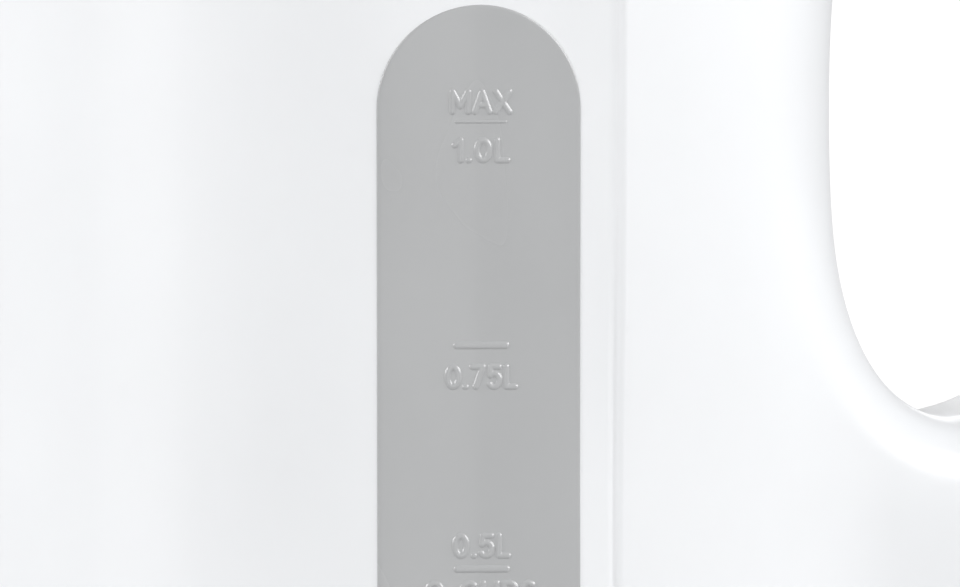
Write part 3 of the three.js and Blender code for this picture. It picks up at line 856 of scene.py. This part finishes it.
def tool_disc(centre, radius, low, high, count=48):
    """An upright cylinder that cuts another piece."""
    return tool_rod([(x, y, z) for z in (low, high) for x, y in ring_points(centre, radius, count)])


def tool_length_rod(radius, height, x0, x1):
    """A cylinder along the kettle, that cuts another piece."""
    return tool_rod([(x, y, z) for x in (x0, x1) for y, z in ring_points((0, height), radius, 40)])


def tool_lathe(profile):
    """A turned solid that cuts another piece. Its outline starts and ends on the axis."""
    angles = np.linspace(0, 2 * math.pi, 128, endpoint=False)
    verts = [(r * math.cos(a), r * math.sin(a), z) for r, z in profile for a in angles]
    return tool_mesh(verts, ring_faces(len(profile), 128, False))


def circle_places(count, radius, start):
    angles = [math.radians(start + 360 * i / count) for i in range(count)]
    return [(radius * math.cos(a), radius * math.sin(a)) for a in angles]


# ---------- jug ----------

COVER = {"half": 9.15, "from": 0.192, "to": 0.778, "gap": 0.13, "depth": 1.6}


def finer_strip(bm, chosen, cuts):
    """Divides the faces whose corners are all chosen, and returns the new points."""
    picked = {v for v in bm.verts if chosen(v.co)}
    edges = [e for e in bm.edges if e.verts[0] in picked and e.verts[1] in picked]
    made = bmesh.ops.subdivide_edges(bm, edges=edges, cuts=cuts, use_grid_fill=True)
    return [g for g in made["geom_inner"] if isinstance(g, bmesh.types.BMVert)]


def bm_points(verts):
    return np.array([v.co[:] for v in verts], float)


def back_verts(bm):
    """The points that lie on the handle's rounded back."""
    points = bm_points(bm.verts)
    depth = back_field(points[:, 0], points[:, 2])
    near = (depth > -3.2) & (np.abs(points[:, 1]) < 11) & (points[:, 0] > 60)
    return {v for v, is_near in zip(bm.verts, near) if is_near}


def split_cover(bm):
    """Cuts the handle's cover out of the jug's skin, with a narrow rebated seam round it."""
    curve = catmull_rom(HANDLE_BACK)
    ends = []
    for share in (COVER["from"], COVER["to"]):
        i = int(round(share * (len(curve) - 1)))
        along = curve[i + 1] - curve[i - 1]
        ends.append((curve[i], along / np.linalg.norm(along)))
    planes = [((0, side * COVER["half"], 0), (0, 1, 0), None) for side in (-1, 1)]
    planes += [((p[0], 0, p[1]), (a[0], 0, a[1]), p) for p, a in ends]
    for place, direction, near in planes:
        on_back = back_verts(bm)
        faces = {
            f for v in on_back for f in v.link_faces
            if near is None or abs(v.co.x - near[0]) + abs(v.co.z - near[1]) < 12
        }
        faces = [f for f in bm.faces if f in faces and on_back.issuperset(f.verts)]
        # A set's order changes from run to run, and a dict's doesn't.
        parts = [part for f in faces for part in (f, *f.edges, *f.verts)]
        geometry = dict.fromkeys(parts)
        bmesh.ops.bisect_plane(bm, geom=list(geometry), plane_co=place, plane_no=direction, dist=1e-5)
    (start, start_along), (end, end_along) = ends

    on_back = back_verts(bm)

    def covered(co):
        place = np.array([co.x, co.z])
        after = (place - start) @ start_along > 0 or co.z < 195
        before = (place - end) @ end_along < 0 or co.z > 100
        return abs(co.y) < COVER["half"] and after and before

    candidates = {f for v in on_back for f in v.link_faces if on_back.issuperset(f.verts)}
    lid_faces = [f for f in bm.faces if f in candidates and covered(f.calc_center_median())]
    cover = bmesh.new()
    made = {}
    for face in lid_faces:
        corners = []
        for v in face.verts:
            if v.index not in made:
                made[v.index] = cover.verts.new(v.co)
            corners.append(made[v.index])
        cover.faces.new(corners)
    bmesh.ops.delete(bm, geom=lid_faces, context="FACES")
    for mesh, way in ((cover, -1), (bm, 1)):
        rebate_seam(mesh, way, ends)
    return cover


def rebate_seam(bm, way, ends):
    """Draws a seam's open edge back from its neighbour and turns it inwards."""
    edges = [e for e in bm.edges if e.is_boundary]
    rim = list(dict.fromkeys(v for e in edges for v in e.verts))
    inwards = -gradient(jug_outside, bm_points(rim))
    for v, inward in zip(rim, inwards):
        if abs(abs(v.co.y) - COVER["half"]) < 0.01:
            v.co.y += way * math.copysign(COVER["gap"], v.co.y)
        for k, (place, along) in enumerate(ends):
            if abs((v.co.x - place[0]) * along[0] + (v.co.z - place[1]) * along[1]) < 0.01:
                push = way * COVER["gap"] * (-1 if k == 0 else 1)
                v.co.x += push * along[0]
                v.co.z += push * along[1]
        v.co += Vector(inward) * 0.05
    slopes = {v: Vector(n).normalized() for v, n in zip(rim, inwards)}
    made = bmesh.ops.extrude_edge_only(bm, edges=edges)
    fresh = [g for g in made["geom"] if isinstance(g, bmesh.types.BMVert)]
    nearest = {tuple(round(c, 5) for c in v.co): slopes[v] for v in rim}
    for v in fresh:
        v.co += nearest[tuple(round(c, 5) for c in v.co)] * COVER["depth"]


def object_from_bm(name, bm, material, body):
    bm.verts.index_update()
    verts = bm_points(bm.verts)
    faces = [[v.index for v in f.verts] for f in bm.faces]
    obj = new_object(name, verts, faces, material, body)
    tidy_mesh(obj, 0.000002)
    field_normals(obj, jug_field)
    return obj


def jug():
    verts, faces = field_mesh(jug_field, (-72, -60, 12), (118, 60, 216), 1.2)
    bm = bmesh.new()
    made = [bm.verts.new(v) for v in verts]
    for face in faces:
        bm.faces.new([made[i] for i in face])
    bmesh.ops.recalc_face_normals(bm, faces=bm.faces)
    fresh = finer_strip(bm, lambda co: abs(co.x - GROOVE["x"]) < 2.2 and abs(co.y) > GROOVE["side"], 2)
    for v, place in zip(fresh, settle(jug_field, bm_points(fresh))):
        v.co = place
    bm.verts.index_update()
    cover = split_cover(bm)
    stands_for(object_from_bm("jug", bm, WHITE, "jug"), "jug_body")
    stands_for(object_from_bm("handle_back_cover", cover, WHITE, "jug"), "handle_cover")


def windows():
    for side, which in ((-1, "left"), (1, "right")):
        stands_for(window_piece(f"window_{which}", side, GREY), f"level_window_{which}")
        stands_for(raised_marks(f"volume_marks_{which}", side, level_marks(), GREY))


def jug_fittings():
    """The parts of the jug that aren't in its skin: lugs, filter rails, collar and pins."""
    z = HINGE[1]
    px, pz = PIVOT
    for side, which in ((-1, "left"), (1, "right")):
        y0, y1 = sorted((side * 21.3, side * 25.0))
        outline = [(50, z + 2.6), *circle(HINGE, 2.6, 90, 270, 24), (50, z - 2.6)]
        lug = prism(f"lid_lug_{which}", outline, y0, y1, WHITE, "jug", 0.35)
        cut_away(lug, tool_prism(circle(HINGE, PIN_BORE), y0 - 1, y1 + 1))
        smooth_by_angle(stands_for(lug))
        y0, y1 = sorted((side * 11.5, side * 14.5))
        lug = block(f"switch_lug_{which}", (px - 3, y0, pz - 3.5), (px + 5, y1, pz + 3.5), WHITE, "jug", 0.5)
        cut_away(lug, tool_prism(circle(PIVOT, PIN_BORE), y0 - 1, y1 + 1))
        smooth_by_angle(stands_for(lug))
        y0, y1 = sorted((side * 16.4, side * 18.4))
        stands_for(block(f"filter_rail_{which}", (-52.6, y0, 156), (-48.4, y1, 185), WHITE, "jug", 0.6))
    collar = lathe(
        "top_collar_ring", [(51.6, 186), (53.3, 186), (53.3, 199.7), (51.6, 199.7)], INNER, "jug",
        0.6, 160, closed=True,
    )
    cut_away(collar, tool_box((-60, -5, 193), (-50, 5, 201)), tool_length_rod(2.3, 197, 48, 60))
    smooth_by_angle(stands_for(collar, "top_collar"))
    stands_for(cross_rod("hinge_pin", HINGE, PIN, 24.8, DRAWN_STEEL, "jug"), "lid_hinge_pin")
    stands_for(cross_rod("switch_pin", PIVOT, PIN, 14.4, DRAWN_STEEL, "jug"), "switch_pivot_pin")


def wire(points, radius, sides=5):
    """A bent wire along points, as rings of corners and the quads between them."""
    points = np.array(points, float)
    along = np.gradient(points, axis=0)
    along /= np.linalg.norm(along, axis=1)[:, None]
    side = np.cross(along, (1.0, 0.0, 0.0))
    side /= np.linalg.norm(side, axis=1)[:, None]
    other = np.cross(along, side)
    angles = np.linspace(0, 2 * math.pi, sides, endpoint=False)
    rings = [
        points + radius * (math.cos(a) * side + math.sin(a) * other) for a in angles
    ]
    verts = np.stack(rings, 1).reshape(-1, 3)
    faces = ring_faces(len(points), sides, False)
    faces += [tuple(range(sides - 1, -1, -1)), tuple(range(len(verts) - sides, len(verts)))]
    return verts, faces


def spout_filter():
    frame_low, frame_high = (-50.6, -16, 157), (-48.6, 16, 185.6)
    surround = block("spout_filter_frame", frame_low, frame_high, INNER, "jug", 0)
    cut_away(surround, tool_box((-60, -13.5, 160), (-40, 13.5, 183)))
    bevel(surround, 0.5)
    smooth_by_angle(stands_for(surround, "filter_frame"))
    pitch, radius, middle = 1.1, 0.11, -49.65
    ys = np.arange(-13.2, 13.3, pitch)
    zs = np.arange(160.3, 182.8, pitch)
    verts, faces = [], []
    lines = [[(y, z) for z in zs] for y in ys] + [[(y, z) for y in ys] for z in zs]
    for number, line in enumerate(lines):
        flip = 1 if number < len(ys) else -1
        crossing = [number + k if number < len(ys) else number - len(ys) + k for k in range(len(line))]
        points = [
            (middle + flip * 0.12 * (-1) ** turn, y, z) for turn, (y, z) in zip(crossing, line)
        ]
        made, quads = wire(points, radius)
        faces += [tuple(i + len(verts) for i in quad) for quad in quads]
        verts += made.tolist()
    mesh = new_object("spout_filter_mesh", verts, faces, DRAWN_STEEL, "jug")
    tidy_mesh(mesh, 0.000001)
    smooth_by_angle(stands_for(mesh, "filter_mesh"), 80)


# ---------- heater, control and the jug's underside ----------


def screw(name, x, y, z, length, body, node):
    """A self-tapping screw driven from below: a pan head with a cross recess, and a threaded shank."""
    head = [(0, z - 1.6), (1.7, z - 1.6), (2.5, z - 1.2), (2.8, z - 0.6), (2.8, z), (1.3, z)]
    thread = []
    for k, height in enumerate(np.arange(z + 0.5, z + length - 2, 0.45)):
        thread.append((1.3 if k % 2 else 1.0, height))
    made = lathe(name, [*head, *thread, (1.0, z + length - 1.8), (0, z + length)], DRAWN_STEEL, body,
                 0.12, 32, (x, y))
    for half_x, half_y in ((1.5, 0.3), (0.3, 1.5)):
        cut_away(made, tool_box((x - half_x, y - half_y, z - 2), (x + half_x, y + half_y, z - 0.8)))
    smooth_by_angle(stands_for(made, node))


def underside():
    stands_for(
        lathe("water_plate", [(0, 48.5), (43.4, 48.5), (44, 48.3), (45, 48.3), (45.6, 48.5), (53, 48.5),
                              (53, 47.4), (0, 47.4)], SPUN_STEEL, "jug", 0.3, 160),
        "heater_plate",
    )
    stands_for(
        lathe("plate_gasket", [(50.4, 48.9), (53.2, 48.9), (53.2, 49.7), (50.4, 49.7)], SILICONE, "jug",
              0.35, 160, closed=True),
        "plate_seal",
    )
    cover = lathe(
        "jug_underside",
        [(15.4, 15.2), (20, 15.2), (20.4, 15.6), (22.6, 15.6), (23, 15.2), (38, 15.2), (38.4, 15.6),
         (40.6, 15.6), (41, 15.2), (53.2, 15.2), (53.2, 17.8), (35.5, 17.8), (35.5, 20), (34, 20),
         (34, 17.8), (15.4, 17.8)],
        BLACK, "jug", 0.35, 160, closed=True,
    )
    places = circle_places(*COVER_SCREWS)
    for place in places:
        cut_away(cover, tool_disc(place, SCREW_HOLE["shank"], 10, 30, 24),
                 tool_disc(place, SCREW_HOLE["head"], 10, 16.9, 32))
    smooth_by_angle(stands_for(cover, "bottom_cover"))
    for i, (x, y) in enumerate(places):
        screw(f"cover_screw_{i + 1}", x, y, 16.6, 14, "jug", f"bottom_screw_{i + 1}")
    housing = lathe(
        "control_housing",
        [(0, 28.5), (13, 28.5), (13, 15.5), (13.4, 15), (15, 15), (15, 21), (26, 21), (26, 36), (12, 36),
         (12, 40), (0, 40)],
        BLACK, "jug", 0.5, 96,
    )
    stands_for(housing, "control_block")
    stands_for(block("control_arm", (18, -9, 26), (41.5, 9, 40), BLACK, "jug", 0.8))
    stands_for(
        lathe("centre_pin", [(0, 17), (1.4, 17), (2.2, 18), (2.2, 28.4), (0, 28.4)], BRASS, "jug", 0.5, 48),
        "connector_pin",
    )
    stands_for(
        lathe("outer_contact", [(10.4, 18), (12.6, 18), (12.6, 28), (10.4, 28)], BRASS, "connector",
              0.4, 96, closed=True),
        "connector_ring",
    )


# ---------- switch ----------


def switch():
    x, z = PIVOT
    paddle = [
        (x - 1, z + 2.6), (56, 31.4), (67, 32.2), (70.5, 31.6), (72, 29.6), (71, 27.4), (68, 26.3),
        (56, 26.2), (x - 1, z - 2.6),
    ]
    outline = [tuple(p) for p in rounded([*paddle, paddle[0]], 1.2, 5)[:-1]]
    lever = prism("rocker_lever", outline, -9.8, 9.8, GREY, "switch", 0)
    cut_away(
        lever,
        tool_box((67, -4.3, 28.7), (80, 4.3, 40)),
        *(tool_prism(circle((rib_x, 32.75), 0.9, steps=20), -7.5, 7.5) for rib_x in (59.5, 62, 64.5)),
    )
    bevel(lever, 0.5, 3, 50)
    hub = prism("rocker_hub", circle(PIVOT, 3.2, steps=40), -10.2, 10.2, GREY, "switch", 0.4)
    bore = circle(PIVOT, PIN_BORE)
    for part in (lever, hub):
        cut_away(part, tool_prism(bore, -20, 20))
        smooth_by_angle(part)
    stands_for(lever, "switch_lever")
    stands_for(hub)
    lens = [(67.3, 29), (71.4, 29), (71.5, 29.8), (70.3, 31.4), (67.3, 32)]
    stands_for(prism("rocker_lens", lens, -4, 4, ORANGE, "switch", 0.35), "indicator_lens")


# ---------- lid ----------


def lid():
    dome = [(0, 209.4), (15, 209.1), (30, 208.4), (44, 207), (52, 205.4), (55.3, 203.2), (55.6, 201.4),
            (54.9, 200.3), (0, 200.3)]
    cap = lathe("lid_dome", dome, WHITE, "lid", 2.2, 192)
    cut_away(cap, tool_box((LID_BACK, -80, 180), (90, 80, 230)))
    under = [(0, 195), (51, 195), (51, 202.4), (48, 203.8), (42, 204.9), (30, 206), (15, 206.7), (0, 207)]
    hollow = tool_lathe(under)
    cut_away(hollow, tool_box((LID_BACK - 2.4, -80, 180), (90, 80, 230)))
    lug_spaces = [tool_box((39.9, y, 195), (90, y + 4.4, 230)) for y in (-25.4, 21)]
    cut_away(cap, hollow, tool_disc((0, 0), 9.3, 190, 230, 96), *lug_spaces,
             tool_box((38, -80, 180), (90, 80, 201.5)), tool_prism(circle(HINGE, PIN_BORE), -25.4, 25.4))
    bevel(cap, 0.3, 2, 50)
    smooth_by_angle(stands_for(cap, "lid_cap"))
    barrel = prism("lid_barrel", circle(HINGE, 2.6, steps=48), -20.7, 20.7, WHITE, "lid", 0.3)
    cut_away(barrel, tool_prism(circle(HINGE, PIN_BORE), -30, 30))
    smooth_by_angle(stands_for(barrel))
    guide = [(9.3, 203), (11, 203), (11, 208), (9.3, 208)]
    stands_for(lathe("button_guide", guide, WHITE, "lid", 0.3, 96, closed=True))
    liner = lathe(
        "lid_inner",
        [(0, 190.5), (30, 190.5), (30.5, 190.8), (33, 190.8), (33.5, 190.5), (48, 190.5), (50.3, 192.5),
         (50.3, 202.1), (48.5, 202.1), (48.5, 193), (0, 193)],
        INNER, "lid", 0.7, 160,
    )
    cut_away(liner, tool_box((-60, -4.5, 194), (-40, 4.5, 198.5)), tool_box((36, -80, 199.4), (90, 80, 230)))
    smooth_by_angle(stands_for(liner, "lid_liner"))
    stands_for(block("spring_post", (26, -4, 192.5), (28.5, 4, 199.5), INNER, "lid", 0.4))
    seal = [
        (50.6, 198.8), (51.2, 198.8), (51.0, 199.2), (51.2, 199.4), (51.0, 199.7), (51.2, 200), (50.6, 200),
    ]
    stands_for(lathe("lid_gasket", seal, SILICONE, "lid", 0.1, 160, closed=True), "lid_seal")
    button = lathe(
        "push_button",
        [(0, 209.6), (3, 209.65), (6, 209.9), (8, 210.2), (9, 209.7), (9, 205), (4.5, 205), (4.5, 198.8),
         (0, 198.8)],
        GREY, "button", 0.8, 96,
    )
    ramp = [(2.2, 198), (2.2, 198.8), (5.2, 201.8), (8, 201.8), (8, 198)]
    cut_away(button, tool_prism(ramp, -10, 10))
    smooth_by_angle(stands_for(button, "lid_button"))


def latch_return_spring():
    """The coil behind the latch, on a mesh of its own."""
    start, end, turns, radius, height = 15.7, 25.4, 4.5, 2.0, 196.2
    angles = np.linspace(0, 2 * math.pi * turns, 110)
    points = [
        (start + (end - start) * a / angles[-1], radius * math.cos(a), height + radius * math.sin(a))
        for a in angles
    ]
    coil = new_object("return_spring", *wire(points, 0.35, 8), DRAWN_STEEL, "lid")
    smooth_by_angle(stands_for(coil, "latch_spring"), 60)
    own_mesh(coil)


# ---------- power base ----------


def power_base():
    top = lathe(
        "base_shell",
        [(65.2, 1), (66, 2), (66, 11), (65.2, 16.5), (63.6, 19.4), (62.2, 20), (61.2, 19.2), (60.5, 14.6),
         (59.9, 14), (15.4, 14), (15.4, 12.8), (13, 12.8), (13, 14), (10.1, 14), (10.1, 11.5), (60.5, 11.5),
         (63, 11), (63.4, 9), (63.4, 1)],
        WHITE, "power_base", 1.4, 192, closed=True,
    )
    cut_away(top, tool_length_rod(CORD_INLET["radius"], CORD_INLET["height"], 50, 80))
    smooth_by_angle(stands_for(top, "base_top"))
    for i, place in enumerate(circle_places(*BASE_SCREWS)):
        boss = [(1.6, 4.3), (3.4, 4.3), (3.4, 12), (1.6, 12)]
        stands_for(lathe(f"screw_boss_{i + 1}", boss, WHITE, "power_base", 0.2, 40, place, closed=True))
        screw(f"plate_screw_{i + 1}", *place, 3, 7.5, "power_base", f"base_screw_{i + 1}")
    feet = circle_places(*BASE_FEET)
    plate = lathe(
        "base_underside",
        [(0, 1.2), (18, 1.2), (18.4, 1.6), (20, 1.6), (20.4, 1.2), (30, 1.2), (30.4, 1.6), (32, 1.6),
         (32.4, 1.2), (62.2, 1.2), (63, 2), (63, 4), (0, 4)],
        BLACK, "power_base", 0.3, 160,
    )
    for place in feet:
        cut_away(plate, tool_disc(place, 6.3, 0, 2.7, 40))
    for place in circle_places(*BASE_SCREWS):
        cut_away(plate, tool_disc(place, SCREW_HOLE["head"], 0, 3.3, 32),
                 tool_disc(place, SCREW_HOLE["shank"], 0, 6, 24))
    cut_away(plate, tool_box((58, -5.6, 0), (70, 5.6, 20)))
    smooth_by_angle(stands_for(plate, "base_plate"))
    outline = [(0, 0.25), (2, 0.25), (2.3, 0), (5.3, 0), (6, 0.7), (6, 2.4), (0, 2.4)]
    for i, place in enumerate(feet):
        foot = lathe(f"rubber_foot_{i + 1}", outline, RUBBER, "power_base", 0.25, 64, place)
        stands_for(foot, f"base_foot_{i + 1}")
    tower = [
        (0, 8.7), (15.5, 8.7), (15.5, 11.2), (9.5, 11.2), (9.5, 17), (7.9, 17), (7.9, 22.3), (9.5, 22.3),
        (9.5, 24.6), (8.8, 25.5), (4.6, 25.5), (4.6, 15), (0, 15),
    ]
    stands_for(lathe("plug_tower", tower, BLACK, "power_base", 0.4, 96), "base_socket")
    contacts = [
        ("live", [(3.2, 15.3), (4.3, 15.3), (4.3, 24), (3.2, 24)]),
        ("neutral", [(8.2, 17.4), (9.2, 17.4), (9.2, 21.9), (8.2, 21.9)]),
        ("earth", [(13.3, 13.1), (15.1, 13.1), (15.1, 14.6), (13.3, 14.6)]),
    ]
    for which, outline in contacts:
        made = lathe(f"{which}_contact", outline, BRASS, "power_base", 0.3, 96, closed=True)
        stands_for(made, f"socket_contact_{which}")
    gland = lathe(
        "cord_bush",
        [(3.3, 60), (4.7, 60), (4.7, 62), (4.2, 62), (4.2, 66.3), (5.4, 66.3), (5.4, 68.2), (3.3, 68.2)],
        BLACK, "power_base", 0.35, 64, closed=True,
    )
    inlet = Vector((AXIS_X, 0, CORD_INLET["height"] * MM))
    about_axis = Matrix.Translation((-AXIS_X, 0, 0))
    gland.data.transform(Matrix.Translation(inlet) @ Matrix.Rotation(math.pi / 2, 4, "Y") @ about_axis)
    stands_for(gland, "cord_gland")
    stands_for(block("clamp_bar", (48, -8, 4.3), (53, 8, 8), BLACK, "power_base", 0.6), "cord_clamp")


KEPT = {
    "heat_spreader": ALUMINIUM, "heating_element": DRAWN_STEEL, "plate_clamp_ring": INNER,
    "dry_boil_bimetal": BRASS, "steam_bimetal": BRASS, "indicator_lamp": ORANGE, "steam_tube": SILICONE,
    "latch_slider": INNER,
}


def finish_kept_nodes():
    for name, material in KEPT.items():
        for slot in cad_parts[name].material_slots:
            slot.material = material


jug()
windows()
jug_fittings()
spout_filter()
underside()
switch()
lid()
latch_return_spring()
power_base()
finish_kept_nodes()


# ---------- stage ----------


def aim(obj, place, target):
    """Puts an object at a place in metres, looking at a target."""
    obj.location = place
    obj.rotation_euler = (Vector(target) - Vector(place)).to_track_quat("-Z", "Y").to_euler()


def heading(azimuth, elevation):
    """The way from the jug to where it is seen or lit from. Azimuth 0 is in front, at -Y."""
    a, e = math.radians(azimuth), math.radians(elevation)
    return Vector((math.sin(a) * math.cos(e), -math.cos(a) * math.cos(e), math.sin(e)))


CAMERA = {
    "azimuth": -13.4, "elevation": 0.8, "distance": 3.0, "width": 0.12, "height": 0.1375, "right": 0.013,
    "sensor": 36,
}
LIGHTS = {
    "left_box": (-60, 22, 32.1),
    "left_low_box": (-75, 5, 5.9),
    "front_low_box": (0, 5, 3.4),
    "right_box": (50, 22, 21.6),
    "right_back_box": (75, 22, 28.0),
    "right_low_box": (100, 5, 1.9),
    "back_box": (165, 22, 5.0),
    "left_back_box": (-125, 22, 15.6),
}
SOFT_BOX = {"distance": 2.5, "width": 1.04}
AMBIENT, BACKDROP = 0.41, 1.05
FLOOR_HALF = 6.0
MIDDLE = Vector((AXIS_X, 0, CAMERA["height"]))


def camera():
    azimuth = math.radians(CAMERA["azimuth"])
    target = MIDDLE + Vector((math.cos(azimuth), math.sin(azimuth), 0)) * CAMERA["right"]
    data = bpy.data.cameras.new("camera")
    data.sensor_width = CAMERA["sensor"]
    data.lens = CAMERA["sensor"] * CAMERA["distance"] / CAMERA["width"]
    data.clip_start, data.clip_end = 0.1, 40
    obj = linked("camera", data)
    aim(obj, target + CAMERA["distance"] * heading(CAMERA["azimuth"], CAMERA["elevation"]), target)
    bpy.context.scene.camera = obj


def soft_light(name, azimuth, elevation, power):
    """A square soft box, placed by its direction from the jug."""
    data = bpy.data.lights.new(name, "AREA")
    data.shape = "SQUARE"
    data.size = SOFT_BOX["width"]
    data.energy = power
    light = linked(name, data)
    aim(light, MIDDLE + SOFT_BOX["distance"] * heading(azimuth, elevation), MIDDLE)
    light.visible_camera = False


def studio_world():
    """White surroundings, brighter to the camera than they light the kettle."""
    world = bpy.data.worlds.new("studio")
    world.use_nodes = True
    nodes, links = world.node_tree.nodes, world.node_tree.links
    backdrop = nodes["Background"]
    backdrop.inputs["Color"].default_value = (1, 1, 1, 1)
    strength = nodes.new("ShaderNodeMapRange")
    strength.inputs["To Min"].default_value = AMBIENT
    strength.inputs["To Max"].default_value = BACKDROP
    links.new(nodes.new("ShaderNodeLightPath").outputs["Is Camera Ray"], strength.inputs["Value"])
    links.new(strength.outputs["Result"], backdrop.inputs["Strength"])
    bpy.context.scene.world = world
    bpy.context.scene.view_settings.view_transform = "Standard"


def floor_plane():
    mesh = bpy.data.meshes.new("floor")
    corners = [(x * FLOOR_HALF, y * FLOOR_HALF, 0) for x, y in ((-1, -1), (1, -1), (1, 1), (-1, 1))]
    mesh.from_pydata(corners, [], [(0, 1, 2, 3)])
    floor = linked("floor", mesh)
    nodes = Nodes("pale_floor")
    cloud = nodes.ranged(nodes.noise(3, 2), 0, 1)
    paper = nodes.noise(900, 2)
    mesh.materials.append(nodes.finish(
        Base_Color=nodes.blend(cloud, (0.57, 0.57, 0.57), (0.59, 0.59, 0.59)),
        Roughness=0.85,
        Normal=nodes.bump(paper, 0.02 * MM),
    ))


camera()
for light_name, light_setting in LIGHTS.items():
    soft_light(light_name, *light_setting)
studio_world()
floor_plane()
